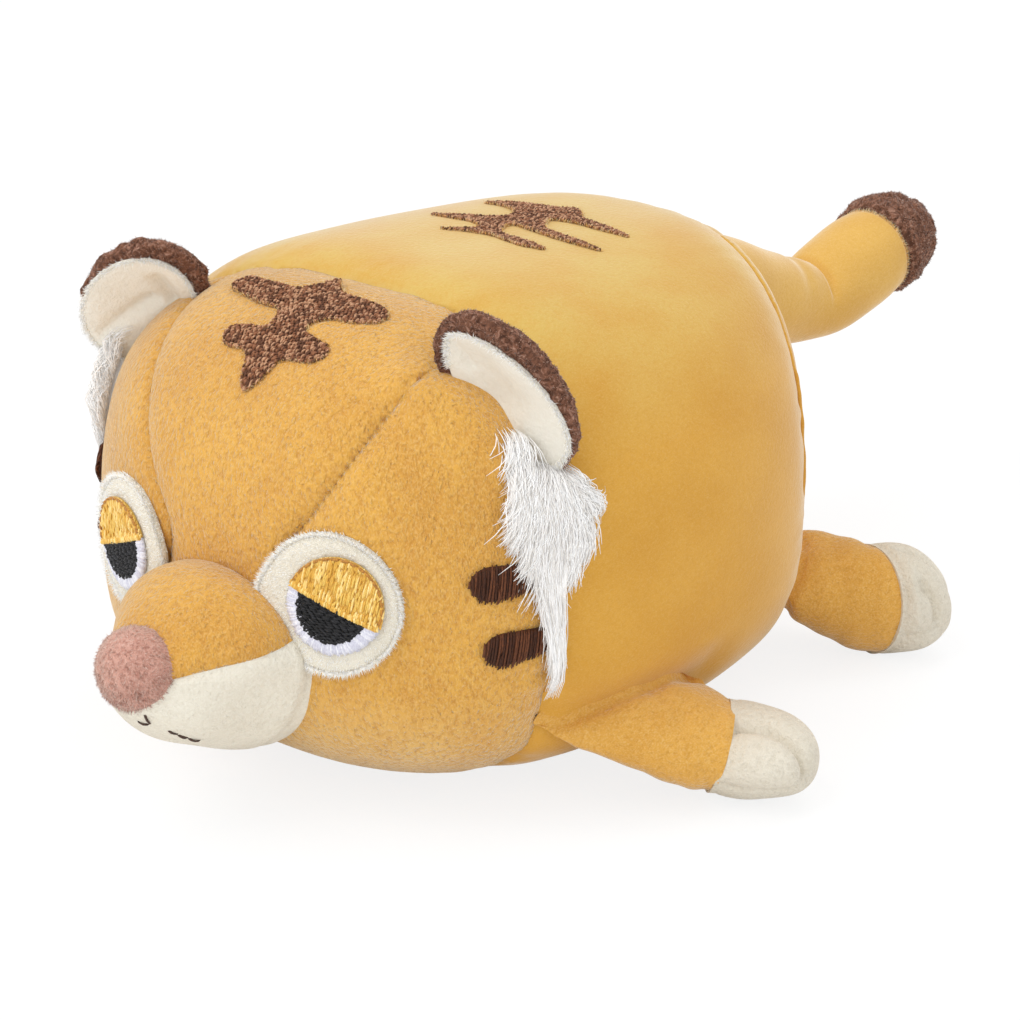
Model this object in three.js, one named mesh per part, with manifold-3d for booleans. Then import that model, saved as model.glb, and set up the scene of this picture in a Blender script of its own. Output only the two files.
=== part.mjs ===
// A stuffed toy tiger lying on its belly.
// A loaf of sewn plush panels round one filling carries the snout, nose, eyes, ears, cheek tufts,
// four splayed legs and a bent tail.
// Millimetres, +Z up, nose towards -Y, the animal's left towards +X, z = 0 on the flat of the belly.
import * as THREE from "three";
import { mergeVertices } from "three/addons/utils/BufferGeometryUtils.js";
import Module from "manifold-3d";

const wasm = await Module();
wasm.setup();

// Driving dimensions

const body = {
  halfWidth: 60,
  faceLength: 66.8,
  rumpLength: 73.4,
  height: 92.1,
  girthHeight: 36.1,
  flatDepth: 0.5,
  coverThickness: 2.4,
  leanShare: 0.112,
  sectionPower: 2.78,
  facePlanPower: 2.52,
  rumpPlanPower: 2.21,
  faceSidePower: 2.96,
  rumpSidePower: 7.09,
};

const fit = { gap: 0.3, liningGap: 0.6, overrun: 30 };

const belly = { halfWidth: 40, halfLength: 52, rise: 14 };

const snout = {
  length: 31.5,
  root: 6,
  halfWidth: 20,
  halfHeight: 19,
  tipRise: 4.5,
  seamHeight: 38,
  seamFall: 6,
  taperShare: 0.47,
  endPower: 4,
};

const nose = { halfWidth: 7.6, halfHeight: 7.5, halfDepth: 7.4, inset: -1.2, rise: 2 };

const eye = {
  halfWidth: 8.4,
  lidHeight: 9,
  whiteDepth: 9.4,
  pupilHalfWidth: 6,
  pupilDepth: 6.8,
  tiltDegrees: -24,
  patchThickness: 1.2,
  threadThickness: 0.8,
  patchHalfWidth: 13.2,
  patchHalfHeight: 14.2,
  patchCornerReach: 5,
};

const marks = { depth: 1.1, proud: 0.2, reach: 20, foreheadLength: 27, backLength: 33.6 };

const cheekStripe = { seamInset: 1, halfHeight: 3.3, slope: 2.2 };

const tuft = { length: 43, halfWidth: 11.5, thickness: 3.6 };

const ear = {
  halfWidth: 15.8,
  height: 20.5,
  rootDepth: 4.5,
  inwardLean: 6,
  backDepth: 5.4,
  frontDepth: 2.4,
  rim: 1.2,
  liningDepth: 2,
  pushedInward: 2,
  pushedBack: 2.2,
  backFoldDegrees: 25,
  frontFoldDegrees: 12,
};

// How each ear lies when the toy is put down: folded forward, turned and rolled from its sewn pose
const earPoses = {
  left: { forward: 0, turned: 0, rolled: 0, inward: 0, back: 0 },
  right: { forward: 34, turned: -22, rolled: 4, inward: ear.pushedInward, back: ear.pushedBack },
};

const foreleg = {
  name: "foreleg",
  reach: 20,
  sweepDegrees: 48,
  pawLength: 15.8,
  pawSweepDegrees: 24,
  rootHalfHeight: 3.4,
  swellPower: 0.6,
  pawPower: 2.6,
  halfWidth: 10.2,
  halfHeight: 8.4,
  liftDegrees: 30,
  dropDegrees: 12,
};

const hindleg = {
  name: "hindleg",
  reach: 15,
  sweepDegrees: 37,
  pawLength: 18.5,
  pawSweepDegrees: 43,
  rootHalfHeight: 6,
  swellPower: 0.6,
  pawPower: 2.6,
  halfWidth: 11,
  halfHeight: 10.2,
  liftDegrees: 30,
  dropDegrees: 12,
};

const tail = {
  rootRadius: 12.6,
  radius: 9.6,
  tipRadius: 10.8,
  rootRun: 44,
  fallDegrees: 18.5,
  knuckle: 5.4,
  endRun: 27,
  riseDegrees: 12,
  tipLength: 16.5,
  tipPower: 2.4,
  wagDegrees: 20,
};

// Places on the body, as shares of its sizes

// Head seam: share of the height, then share of the face length in front of the widest station
const headSeamShares = [
  [1.2, 0.37],
  [0.99, 0.39],
  [0.76, 0.49],
  [0.54, 0.57],
  [0.27, 0.575],
  [0, 0.53],
  [-0.2, 0.53],
];
// Edge between the forehead and each cheek: share of the half width, then share of the height
const foreheadEdgeShares = [
  [0.62, 1.2],
  [0.51, 0.915],
  [0.42, 0.77],
  [0.35, 0.68],
  [0.2, 0.54],
  [0.27, 0.42],
  [0.2, 0.3],
];
const snoutHeightShare = 0.3;
const eyePlaceShares = [0.425, 0.485];
const patchPlaceShares = [0.4, 0.495];
const cheekStripePlaceShares = [
  [0.712, 0.54],
  [0.69, 0.405],
];
const tuftTopShares = [0.57, 0.72];
const tuftFootShares = [0.56, 0.28];
const earInnerShares = [0.51, 0.912];
const earOuterShares = [0.857, 0.724];
const earLeanShares = [0.5, -0.2, 0.84];
const foreheadStartShare = 0.875;
const backStartShare = 0.052;
const forelegRootShares = [
  [-0.55, 0.235],
  [0.05, 0.195],
];
const hindlegRootShares = [
  [0.6, 0.18],
  [0.9, 0.18],
];
const tailRootShare = 0.69;

// Outlines, as shares of each mark's reach and length, x then y

const foreheadMarkShares = [
  [-0.02, 1], [0.05, 0.91], [0.2, 0.83], [0.45, 0.83], [0.72, 0.82], [0.83, 0.74], [0.8, 0.66],
  [0.6, 0.59], [0.35, 0.56], [0.22, 0.49], [0.22, 0.42], [0.39, 0.39], [0.6, 0.37], [0.63, 0.3],
  [0.52, 0.23], [0.3, 0.21], [0.19, 0.19], [0.15, 0.11], [0.07, 0.04], [-0.02, 0], [-0.11, 0.06],
  [-0.15, 0.15], [-0.22, 0.2], [-0.48, 0.2], [-0.58, 0.27], [-0.55, 0.33], [-0.4, 0.36],
  [-0.17, 0.37], [-0.17, 0.48], [-0.24, 0.54], [-0.49, 0.55], [-0.78, 0.61], [-0.97, 0.66],
  [-1.01, 0.74], [-0.92, 0.81], [-0.63, 0.78], [-0.25, 0.76], [-0.12, 0.87],
];
const backMarkShares = [
  [0.78, 0.13], [0.52, 0.07], [0.33, 0.09], [0.1, 0.12], [-0.13, 0.09], [-0.42, 0], [-0.25, 0.1],
  [-0.16, 0.18], [-0.2, 0.24], [-0.38, 0.29], [-0.62, 0.27], [-0.93, 0.28], [-0.66, 0.36],
  [-0.42, 0.43], [-0.27, 0.53], [-0.3, 0.63], [-0.52, 0.73], [-0.93, 0.76], [-0.6, 0.86],
  [-0.28, 0.9], [-0.12, 0.93], [-0.05, 1], [0.12, 0.93], [0.25, 0.82], [0.6, 0.8], [0.97, 0.76],
  [0.6, 0.71], [0.3, 0.72], [0.06, 0.68], [0.14, 0.57], [0.27, 0.47], [0.48, 0.44], [0.8, 0.43],
  [1.08, 0.41], [0.66, 0.35], [0.25, 0.38], [-0.03, 0.42], [-0.05, 0.35], [0.04, 0.25],
  [0.16, 0.18], [0.5, 0.17],
];

// Facet counts, and how fine the geometry is worked out

const facets = { round: 40, rings: 10, limb: 16, run: 5, dome: 4, oval: 24, ball: 10 };
const closeness = { merged: 1e-4, halvings: 40, leastMitreShare: 0.15 };

// Colours

const colours = {
  coat: "#dba552",
  face: "#dd9f45",
  cream: "#eee8d8",
  brown: "#6d4a3f",
  thread: "#6a4638",
  darkThread: "#4d2c1c",
  gold: "#dca43c",
  black: "#17161a",
  white: "#f4f4f6",
  pink: "#c19088",
  filling: "#f3f1ea",
};

// Solids and geometry

function toSolid(geometry) {
  const bare = geometry.clone();
  bare.deleteAttribute("normal");
  bare.deleteAttribute("uv");
  const merged = mergeVertices(bare, closeness.merged);
  const mesh = new wasm.Mesh({
    numProp: 3,
    vertProperties: new Float32Array(merged.attributes.position.array),
    triVerts: new Uint32Array(merged.index.array),
  });
  return new wasm.Manifold(mesh);
}

function toGeometry(solid) {
  const mesh = solid.getMesh();
  const places = [];
  for (let i = 0; i < mesh.numVert; i++) {
    places.push(...mesh.vertProperties.subarray(i * mesh.numProp, i * mesh.numProp + 3));
  }
  const geometry = new THREE.BufferGeometry();
  geometry.setAttribute("position", new THREE.Float32BufferAttribute(places, 3));
  geometry.setIndex(Array.from(mesh.triVerts));
  geometry.computeVertexNormals();
  return geometry;
}

// A closed skin over rings of points; a ring of one point is a tip, any other end is closed flat.
function skinOver(rings) {
  const places = [];
  const starts = [];
  for (const ring of rings) {
    starts.push(places.length / 3);
    for (const point of ring) {
      places.push(point.x, point.y, point.z);
    }
  }
  const triangles = [];
  for (let r = 0; r + 1 < rings.length; r++) {
    joinRings(triangles, rings[r], rings[r + 1], starts[r], starts[r + 1]);
  }
  closeEnd(triangles, places, rings[0], starts[0], true);
  closeEnd(triangles, places, rings[rings.length - 1], starts[rings.length - 1], false);
  const geometry = new THREE.BufferGeometry();
  geometry.setAttribute("position", new THREE.Float32BufferAttribute(places, 3));
  geometry.setIndex(triangles);
  return geometry;
}

function joinRings(triangles, near, far, a, b) {
  const count = Math.max(near.length, far.length);
  for (let i = 0; i < count; i++) {
    const j = (i + 1) % count;
    if (near.length === 1) {
      triangles.push(a, b + j, b + i);
    } else if (far.length === 1) {
      triangles.push(a + i, a + j, b);
    } else {
      triangles.push(a + i, a + j, b + j, a + i, b + j, b + i);
    }
  }
}

function closeEnd(triangles, places, ring, start, first) {
  if (ring.length === 1) {
    return;
  }
  const middle = ring.reduce((sum, p) => sum.add(p), new THREE.Vector3()).divideScalar(ring.length);
  const centre = places.length / 3;
  places.push(middle.x, middle.y, middle.z);
  for (let i = 0; i < ring.length; i++) {
    const j = (i + 1) % ring.length;
    triangles.push(centre, start + (first ? j : i), start + (first ? i : j));
  }
}

function moved(geometry, matrix) {
  return geometry.clone().applyMatrix4(matrix);
}

// The matrix that turns things about a line by an angle.
function turnAbout(pivot, axis, degrees) {
  const turn = new THREE.Matrix4().makeRotationAxis(axis, THREE.MathUtils.degToRad(degrees));
  const there = new THREE.Matrix4().makeTranslation(pivot.x, pivot.y, pivot.z);
  const back = new THREE.Matrix4().makeTranslation(-pivot.x, -pivot.y, -pivot.z);
  return there.multiply(turn).multiply(back);
}

function placeFrame(right, up, out, origin) {
  return new THREE.Matrix4().makeBasis(right, up, out).setPosition(origin);
}

const X = new THREE.Vector3(1, 0, 0);
const Y = new THREE.Vector3(0, 1, 0);
const Z = new THREE.Vector3(0, 0, 1);
const origin = new THREE.Vector3();
const planView = placeFrame(X, Y, Z, origin);
const topView = placeFrame(X, Y, Z, new THREE.Vector3(0, 0, body.girthHeight));
const faceView = placeFrame(X, Z, Y.clone().negate(), origin);
const sideView = placeFrame(Y, Z, X, origin);
const farReach = 2 * (body.faceLength + body.rumpLength);

// A straight prism on an outline, seen along a view and running from one depth to another.
function prism(outline, view, from = 0, to = farReach) {
  const shape = new THREE.Shape(outline);
  const geometry = new THREE.ExtrudeGeometry(shape, { depth: to - from, bevelEnabled: false });
  geometry.translate(0, 0, from);
  return toSolid(moved(geometry, view));
}

// An outline moved out by a distance, with its corners mitred.
function grown(outline, distance) {
  const turn = THREE.ShapeUtils.isClockWise(outline) ? 1 : -1;
  const normals = outline.map((point, i) => {
    const along = outline[(i + 1) % outline.length].clone().sub(point).normalize();
    return new THREE.Vector2(-along.y, along.x).multiplyScalar(turn);
  });
  return outline.map((point, i) => {
    const before = normals[(i + outline.length - 1) % outline.length];
    const spread = Math.max(1 + before.dot(normals[i]), closeness.leastMitreShare);
    return before.clone().add(normals[i]).multiplyScalar(distance / spread).add(point);
  });
}

function outlineFrom(shares, width, length) {
  return shares.map(([across, along]) => new THREE.Vector2(across * width, along * length));
}

function ovalOutline(centre, halfWidth, halfHeight, degrees = 0, from = 0, to = 360) {
  const curve = new THREE.EllipseCurve(
    centre.x,
    centre.y,
    halfWidth,
    halfHeight,
    THREE.MathUtils.degToRad(from),
    THREE.MathUtils.degToRad(to),
    false,
    THREE.MathUtils.degToRad(degrees),
  );
  const points = curve.getPoints(Math.ceil((facets.oval * (to - from)) / 360));
  if (to - from === 360) {
    points.pop();
  }
  return points;
}

// The loaf

function roundedEnd(share, power) {
  return Math.max(1 - Math.abs(share) ** power, 0) ** (1 / power);
}

function signedPower(value, power) {
  return Math.sign(value) * Math.abs(value) ** power;
}

// The half width, the lean and the heights above and below the girth line at one station.
function stationAt(y) {
  const share = y < 0 ? y / body.faceLength : y / body.rumpLength;
  const plan = roundedEnd(share, y < 0 ? body.facePlanPower : body.rumpPlanPower);
  const side = roundedEnd(share, y < 0 ? body.faceSidePower : body.rumpSidePower);
  return {
    half: body.halfWidth * plan,
    above: (body.height - body.girthHeight) * side,
    below: body.girthHeight * side,
    lean: 1 - (body.leanShare * y) / (body.faceLength + body.rumpLength),
  };
}

function loafRing(y, count) {
  const station = stationAt(y);
  const ring = [];
  for (let i = 0; i < count; i++) {
    const turn = (2 * Math.PI * i) / count;
    const across = signedPower(Math.cos(turn), 2 / body.sectionPower);
    const up = signedPower(Math.sin(turn), 2 / body.sectionPower);
    const z = body.girthHeight - up * (up > 0 ? station.below : station.above);
    ring.push(new THREE.Vector3(station.half * across, y, z * station.lean - body.flatDepth));
  }
  return ring;
}

function loafGeometry(round, stations) {
  const rings = [[endPoint(-body.faceLength)]];
  for (let i = 1 - stations; i < stations; i++) {
    const share = Math.sin((Math.PI * i) / (2 * stations));
    rings.push(loafRing(share * (share < 0 ? body.faceLength : body.rumpLength), round));
  }
  rings.push([endPoint(body.rumpLength)]);
  return skinOver(rings);
}

function endPoint(y) {
  return new THREE.Vector3(0, y, body.girthHeight * stationAt(y).lean - body.flatDepth);
}

// The half width of the loaf where its surface has this y and z.
function sideReach(y, z) {
  const station = stationAt(y);
  const height = (z + body.flatDepth) / station.lean - body.girthHeight;
  const limit = height > 0 ? station.above : station.below;
  return limit > 0 ? station.half * roundedEnd(Math.min(Math.abs(height / limit), 1), body.sectionPower) : 0;
}

// The y of the surface at this x and z, on the face or on the rump.
function endReach(x, z, length) {
  let inside = 0;
  let outside = length;
  for (let i = 0; i < closeness.halvings; i++) {
    const middle = (inside + outside) / 2;
    if (sideReach(middle, z) > Math.abs(x)) {
      inside = middle;
    } else {
      outside = middle;
    }
  }
  return inside;
}

function onFace([widthShare, heightShare]) {
  const x = widthShare * body.halfWidth;
  const z = heightShare * body.height;
  return new THREE.Vector3(x, endReach(x, z, -body.faceLength), z);
}

function onSide([lengthShare, heightShare]) {
  const y = lengthShare * (lengthShare < 0 ? body.faceLength : body.rumpLength);
  const z = heightShare * body.height;
  return new THREE.Vector3(sideReach(y, z), y, z);
}

function onRump(heightShare) {
  const z = heightShare * body.height;
  return new THREE.Vector3(0, endReach(0, z, body.rumpLength), z);
}

// The loaf with every point moved out along its normal.
function puffedLoaf(distance, round = facets.round, stations = facets.rings) {
  const geometry = loafGeometry(round, stations);
  geometry.computeVertexNormals();
  const place = geometry.attributes.position;
  const normal = geometry.attributes.normal;
  for (let i = 0; i < place.count; i++) {
    const out = new THREE.Vector3().fromBufferAttribute(normal, i).multiplyScalar(distance);
    place.setXYZ(i, place.getX(i) + out.x, place.getY(i) + out.y, place.getZ(i) + out.z);
  }
  geometry.deleteAttribute("normal");
  return geometry;
}

// The inner side of the cover and the filling share a plainer loaf with fewer facets.
function innerLoaf(distance) {
  return puffedLoaf(distance, facets.round / 2, facets.rings / 2);
}

function layer(from, to) {
  return toSolid(puffedLoaf(to)).subtract(toSolid(puffedLoaf(from)));
}

function floorBlock() {
  const block = new THREE.BoxGeometry(farReach, farReach, fit.overrun);
  block.translate(0, 0, -fit.overrun / 2);
  return toSolid(block);
}

// Cover panels and filling

// The y of the head seam at a share of the body's height.
function headSeamAt(heightShare) {
  const next = headSeamShares.findIndex(([up]) => up <= heightShare);
  const [upBefore, before] = headSeamShares[next - 1];
  const [upAfter, after] = headSeamShares[next];
  const part = (upBefore - heightShare) / (upBefore - upAfter);
  return -THREE.MathUtils.lerp(before, after, part) * body.faceLength;
}

function headOutline(extra) {
  const points = headSeamShares.map(
    ([up, ahead]) => new THREE.Vector2(extra - ahead * body.faceLength, up * body.height),
  );
  const front = -body.faceLength - fit.overrun;
  const [first] = points;
  const last = points[points.length - 1];
  return [...points, new THREE.Vector2(front, last.y), new THREE.Vector2(front, first.y)];
}

function foreheadOutline(extra) {
  const left = foreheadEdgeShares.map(
    ([out, up]) => new THREE.Vector2(out * body.halfWidth + extra, up * body.height),
  );
  const foot = left[left.length - 1];
  foot.y -= extra;
  const right = left.map((p) => new THREE.Vector2(-p.x, p.y)).reverse();
  return [...left, ...right];
}

function bellyOutline(extra) {
  return ovalOutline(new THREE.Vector2(), belly.halfWidth + extra, belly.halfLength + extra);
}

function coverPanels() {
  const outside = toSolid(loafGeometry(facets.round, facets.rings));
  const cover = outside.subtract(toSolid(innerLoaf(-body.coverThickness))).subtract(floorBlock());
  const bellyCut = prism(bellyOutline(fit.gap), planView, -fit.overrun, belly.rise + fit.gap);
  const bellyPanel = cover.intersect(prism(bellyOutline(0), planView, -fit.overrun, belly.rise));
  const upper = cover.subtract(bellyCut);
  const head = upper.intersect(prism(headOutline(0), sideView, -farReach, farReach));
  const back = upper.subtract(prism(headOutline(fit.gap), sideView, -farReach, farReach));
  const forehead = head.intersect(prism(foreheadOutline(0), faceView));
  const cheeks = head.subtract(prism(foreheadOutline(fit.gap), faceView));
  const leftHalf = new THREE.BoxGeometry(farReach, 2 * farReach, 2 * farReach);
  leftHalf.translate(farReach / 2 + fit.gap / 2, 0, 0);
  return { bellyPanel, back, forehead, leftCheek: cheeks.intersect(toSolid(leftHalf)) };
}

function fillingSolid() {
  const whole = toSolid(innerLoaf(-body.coverThickness - fit.liningGap));
  return whole.subtract(floorBlock().translate(0, 0, body.coverThickness + fit.liningGap));
}

// A thread field sunk a little into the pile of the panel that carries it

function sunkField(outline, view) {
  const top = marks.proud;
  return prism(outline, view).intersect(layer(fit.gap - marks.depth, top));
}

function fieldPocket(outline, view) {
  return prism(grown(outline, fit.gap), view).intersect(layer(-marks.depth, fit.overrun / 2));
}

function foreheadMarkOutline() {
  const outline = outlineFrom(foreheadMarkShares, marks.reach, marks.foreheadLength);
  const start = -foreheadStartShare * body.faceLength;
  return outline.map((p) => new THREE.Vector2(p.x, p.y + start));
}

function backMarkOutline() {
  const outline = outlineFrom(backMarkShares, marks.reach, marks.backLength);
  const start = backStartShare * body.rumpLength;
  return outline.map((p) => new THREE.Vector2(p.x, p.y + start));
}

// A cheek stripe seen from the side: round in front, running back to just short of the head seam.
function cheekStripeOutline([aheadShare, upShare]) {
  const front = -aheadShare * body.faceLength;
  const z = upShare * body.height;
  const radius = cheekStripe.halfHeight;
  const points = ovalOutline(new THREE.Vector2(front, z), radius, radius, 0, 90, 270);
  const back = headSeamAt(upShare) - cheekStripe.seamInset;
  points.push(new THREE.Vector2(back, z - radius + cheekStripe.slope));
  points.push(new THREE.Vector2(back, z + radius));
  return points;
}

// Snout and nose

function snoutRing(share, extra) {
  const y = snoutRootY() - share * snout.length;
  const size = (1 - snout.taperShare * share) * roundedEnd(share, snout.endPower);
  const z = snoutHeightShare * body.height + share * snout.tipRise;
  const ring = [];
  for (let i = 0; i < facets.oval; i++) {
    const turn = (2 * Math.PI * i) / facets.oval;
    const across = (snout.halfWidth * size + extra) * Math.cos(turn);
    const up = (snout.halfHeight * size + extra) * Math.sin(turn);
    ring.push(new THREE.Vector3(across, y, z + up));
  }
  return ring;
}

function snoutRootY() {
  return -body.faceLength + snout.root;
}

function snoutGeometry(extra = 0) {
  const rings = [];
  const count = facets.rings;
  for (let i = 0; i < count; i++) {
    rings.push(snoutRing(Math.sin((Math.PI * i) / (2 * count)), extra));
  }
  const tip = snoutHeightShare * body.height + snout.tipRise;
  rings.push([new THREE.Vector3(0, snoutRootY() - snout.length - extra, tip)]);
  return skinOver(rings);
}

function noseCentre() {
  const z = snoutHeightShare * body.height + snout.tipRise + nose.rise;
  return new THREE.Vector3(0, snoutRootY() - snout.length + nose.halfDepth / 2 - nose.inset, z);
}

function noseGeometry(extra) {
  const ball = new THREE.SphereGeometry(1, facets.limb, facets.ball);
  ball.scale(nose.halfWidth + extra, nose.halfDepth + extra, nose.halfHeight + extra);
  const centre = noseCentre();
  return ball.translate(centre.x, centre.y, centre.z);
}

// The orange bridge lies above this slanting seam and the cream muzzle below it.
function bridgeOutline(extra) {
  const back = -body.faceLength + fit.overrun;
  const front = -body.faceLength - snout.length;
  const fall = (snout.seamFall * (back - front)) / snout.length;
  return [
    new THREE.Vector2(front, snout.seamHeight - fall / 2 + extra),
    new THREE.Vector2(back, snout.seamHeight + fall / 2 + extra),
    new THREE.Vector2(back, body.height),
    new THREE.Vector2(front, body.height),
  ];
}

function snoutPieces() {
  const whole = toSolid(snoutGeometry())
    .subtract(toSolid(puffedLoaf(fit.gap)))
    .subtract(toSolid(noseGeometry(fit.gap)));
  const bridge = whole.intersect(prism(bridgeOutline(fit.gap), sideView, -farReach, farReach));
  const muzzle = whole.subtract(prism(bridgeOutline(0), sideView, -farReach, farReach));
  return { bridge, muzzle };
}

// Eyes

function eyeCentre() {
  const [across, up] = eyePlaceShares;
  return new THREE.Vector2(across * body.halfWidth, up * body.height);
}

function patchOutline() {
  const [across, up] = patchPlaceShares;
  const centre = new THREE.Vector2(across * body.halfWidth, up * body.height);
  const outline = ovalOutline(centre, eye.patchHalfWidth, eye.patchHalfHeight);
  const corner = centre.clone();
  corner.x -= eye.patchHalfWidth + eye.patchCornerReach / 2;
  return outline.map((p) => (p.distanceTo(corner) < eye.patchCornerReach ? corner.clone() : p));
}

function eyePieces() {
  const snoutSolid = toSolid(snoutGeometry(fit.gap));
  const centre = eyeCentre();
  const tilt = eye.tiltDegrees;
  const threadFrom = fit.gap + eye.patchThickness + fit.gap;
  const thread = layer(threadFrom, threadFrom + eye.threadThickness);
  const lidOutline = ovalOutline(centre, eye.halfWidth, eye.lidHeight, tilt, 0, 180);
  const whiteOutline = ovalOutline(centre, eye.halfWidth, eye.whiteDepth, tilt, 180, 360);
  const pupilOutline = ovalOutline(centre, eye.pupilHalfWidth, eye.pupilDepth, tilt, 180, 360);
  const lowered = (points) => points.map((p) => new THREE.Vector2(p.x, p.y - fit.gap));
  const lid = prism(lidOutline, faceView).intersect(thread);
  const pupil = prism(lowered(pupilOutline), faceView).intersect(thread);
  const white = prism(lowered(whiteOutline), faceView)
    .intersect(thread)
    .subtract(prism(grown(lowered(pupilOutline), fit.gap), faceView));
  const patchLayer = layer(fit.gap, fit.gap + eye.patchThickness);
  const patch = prism(patchOutline(), faceView).intersect(patchLayer).subtract(snoutSolid);
  return { lid, pupil, white: largestBody(white.subtract(snoutSolid)), patch: largestBody(patch) };
}

function largestBody(solid) {
  return solid.decompose().reduce((best, next) => (next.volume() > best.volume() ? next : best));
}

// Ears: a convex plush back with a rolled rim round a cream lining

function earFrame(pose) {
  const inner = onFace(earInnerShares);
  const outer = onFace(earOuterShares);
  const along = outer.clone().sub(inner).normalize();
  const root = inner.clone().add(outer).multiplyScalar(0.5);
  root.add(new THREE.Vector3(-pose.inward, pose.back, 0));
  const lean = new THREE.Vector3(...earLeanShares);
  const up = lean.addScaledVector(along, -lean.dot(along)).normalize();
  const front = new THREE.Vector3().crossVectors(along, up);
  const view = placeFrame(along, up, front, root)
    .premultiply(turnAbout(root, along, pose.forward))
    .premultiply(turnAbout(root, up, pose.turned))
    .premultiply(turnAbout(root, front, pose.rolled));
  return { axis: new THREE.Vector3().setFromMatrixColumn(view, 0), root, view };
}

// A lens with its own depth to the front and to the back, in the frame of the ear.
function earLens(inset, frontDepth, backDepth) {
  const halfHeight = (ear.height + ear.rootDepth) / 2;
  const ring = (share, depth) => {
    const size = Math.cos((share * Math.PI) / 2);
    const z = depth * Math.sin((share * Math.PI) / 2);
    const points = [];
    for (let i = 0; i < facets.oval; i++) {
      const turn = (2 * Math.PI * i) / facets.oval;
      const y = (halfHeight - inset) * size * Math.sin(turn) + halfHeight - ear.rootDepth;
      const x = (ear.halfWidth - inset) * size * Math.cos(turn) - (ear.inwardLean * y) / ear.height;
      points.push(new THREE.Vector3(x, y, z));
    }
    return points;
  };
  const rings = [];
  for (let i = facets.dome - 1; i > 0; i--) {
    rings.push(ring(i / facets.dome, -backDepth));
  }
  for (let i = 0; i < facets.dome; i++) {
    rings.push(ring(i / facets.dome, frontDepth));
  }
  const middle = halfHeight - ear.rootDepth;
  const lean = (ear.inwardLean * middle) / ear.height;
  rings.unshift([new THREE.Vector3(-lean, middle, -backDepth)]);
  rings.push([new THREE.Vector3(-lean, middle, frontDepth)]);
  return skinOver(rings);
}

// What is left of a moving piece once its parent has been cut from it at every part of its swing.
function clearedOf(solid, parent, pivot, axis, degrees) {
  return degrees.reduce(
    (left, angle) => left.subtract(toSolid(moved(parent, turnAbout(pivot, axis, -angle)))),
    solid,
  );
}

function earPieces(pose) {
  const frame = earFrame(pose);
  const swing = [-ear.backFoldDegrees, 0, ear.frontFoldDegrees];
  const clear = (geometry) =>
    clearedOf(toSolid(moved(geometry, frame.view)), puffedLoaf(fit.gap), frame.root, frame.axis, swing);
  const shell = clear(earLens(0, ear.frontDepth, ear.backDepth));
  const pocket = toSolid(moved(earLens(ear.rim, ear.frontDepth + fit.overrun, ear.liningDepth), frame.view));
  const lining = clear(earLens(ear.rim + fit.gap, ear.frontDepth / 2, ear.liningDepth - fit.gap));
  return { back: largestBody(shell.subtract(pocket)), lining: largestBody(lining) };
}

// Cheek tufts: a leaf of long pile under each ear, along the head seam

function tuftOutline() {
  const top = new THREE.Vector2(-tuftTopShares[0] * body.faceLength, tuftTopShares[1] * body.height);
  const foot = new THREE.Vector2(-tuftFootShares[0] * body.faceLength, tuftFootShares[1] * body.height);
  const axis = foot.clone().sub(top).normalize();
  const across = new THREE.Vector2(-axis.y, axis.x);
  const points = [];
  for (let i = 0; i < facets.oval; i++) {
    const turn = (2 * Math.PI * i) / facets.oval;
    const along = (1 - Math.cos(turn)) / 2;
    const width = tuft.halfWidth * Math.sin(turn) * (1 - along);
    points.push(top.clone().addScaledVector(axis, along * tuft.length).addScaledVector(across, width));
  }
  return points;
}

function tuftSolid(pose) {
  const leaf = prism(tuftOutline(), sideView).intersect(layer(fit.gap, fit.gap + tuft.thickness));
  const frame = earFrame(pose);
  const sweep = moved(earLens(-2 * fit.gap, ear.frontDepth, ear.backDepth), frame.view);
  const swing = [0, -ear.frontFoldDegrees / 2, -ear.frontFoldDegrees];
  return largestBody(clearedOf(leaf, sweep, frame.root, frame.axis, swing));
}

// Legs: a sleeve pinched flat where it is sewn to the body, and a paw sewn on its end

function legRun(leg, rootShares) {
  const [front, back] = rootShares.map(onSide);
  const root = front.clone().add(back).multiplyScalar(0.5);
  const sweep = THREE.MathUtils.degToRad(leg.sweepDegrees);
  const pawSweep = THREE.MathUtils.degToRad(leg.pawSweepDegrees);
  const seam = new THREE.Vector3(Math.cos(sweep), Math.sin(sweep), 0).multiplyScalar(leg.reach).add(root);
  seam.z = leg.halfHeight + fit.gap;
  const ahead = new THREE.Vector3(Math.cos(pawSweep), Math.sin(pawSweep), 0);
  const rootAxis = back.clone().sub(front);
  const halfRoot = rootAxis.length() / 2;
  return { root, seam, ahead, rootAxis: rootAxis.normalize(), halfRoot };
}

function legRing(centre, widthAxis, halfWidth, halfHeight) {
  const ring = [];
  for (let i = 0; i < facets.limb; i++) {
    const turn = (2 * Math.PI * i) / facets.limb;
    const point = centre.clone();
    point.addScaledVector(widthAxis, halfWidth * Math.cos(turn));
    point.addScaledVector(Z, halfHeight * Math.sin(turn));
    ring.push(point);
  }
  return ring;
}

function sleeveGeometry(leg, run) {
  const seamAxis = new THREE.Vector3().crossVectors(Z, run.ahead);
  const rings = [];
  for (let i = -1; i <= facets.run; i++) {
    const share = i / facets.run;
    const swell = Math.sin((Math.max(share, 0) * Math.PI) / 2) ** leg.swellPower;
    const centre = run.root.clone().lerp(run.seam, share);
    const axis = run.rootAxis.clone().lerp(seamAxis, Math.max(share, 0)).normalize();
    const halfWidth = THREE.MathUtils.lerp(run.halfRoot, leg.halfWidth, Math.max(share, 0));
    const halfHeight = THREE.MathUtils.lerp(leg.rootHalfHeight, leg.halfHeight, swell);
    rings.push(legRing(centre, axis, halfWidth, halfHeight));
  }
  return skinOver(rings);
}

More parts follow.
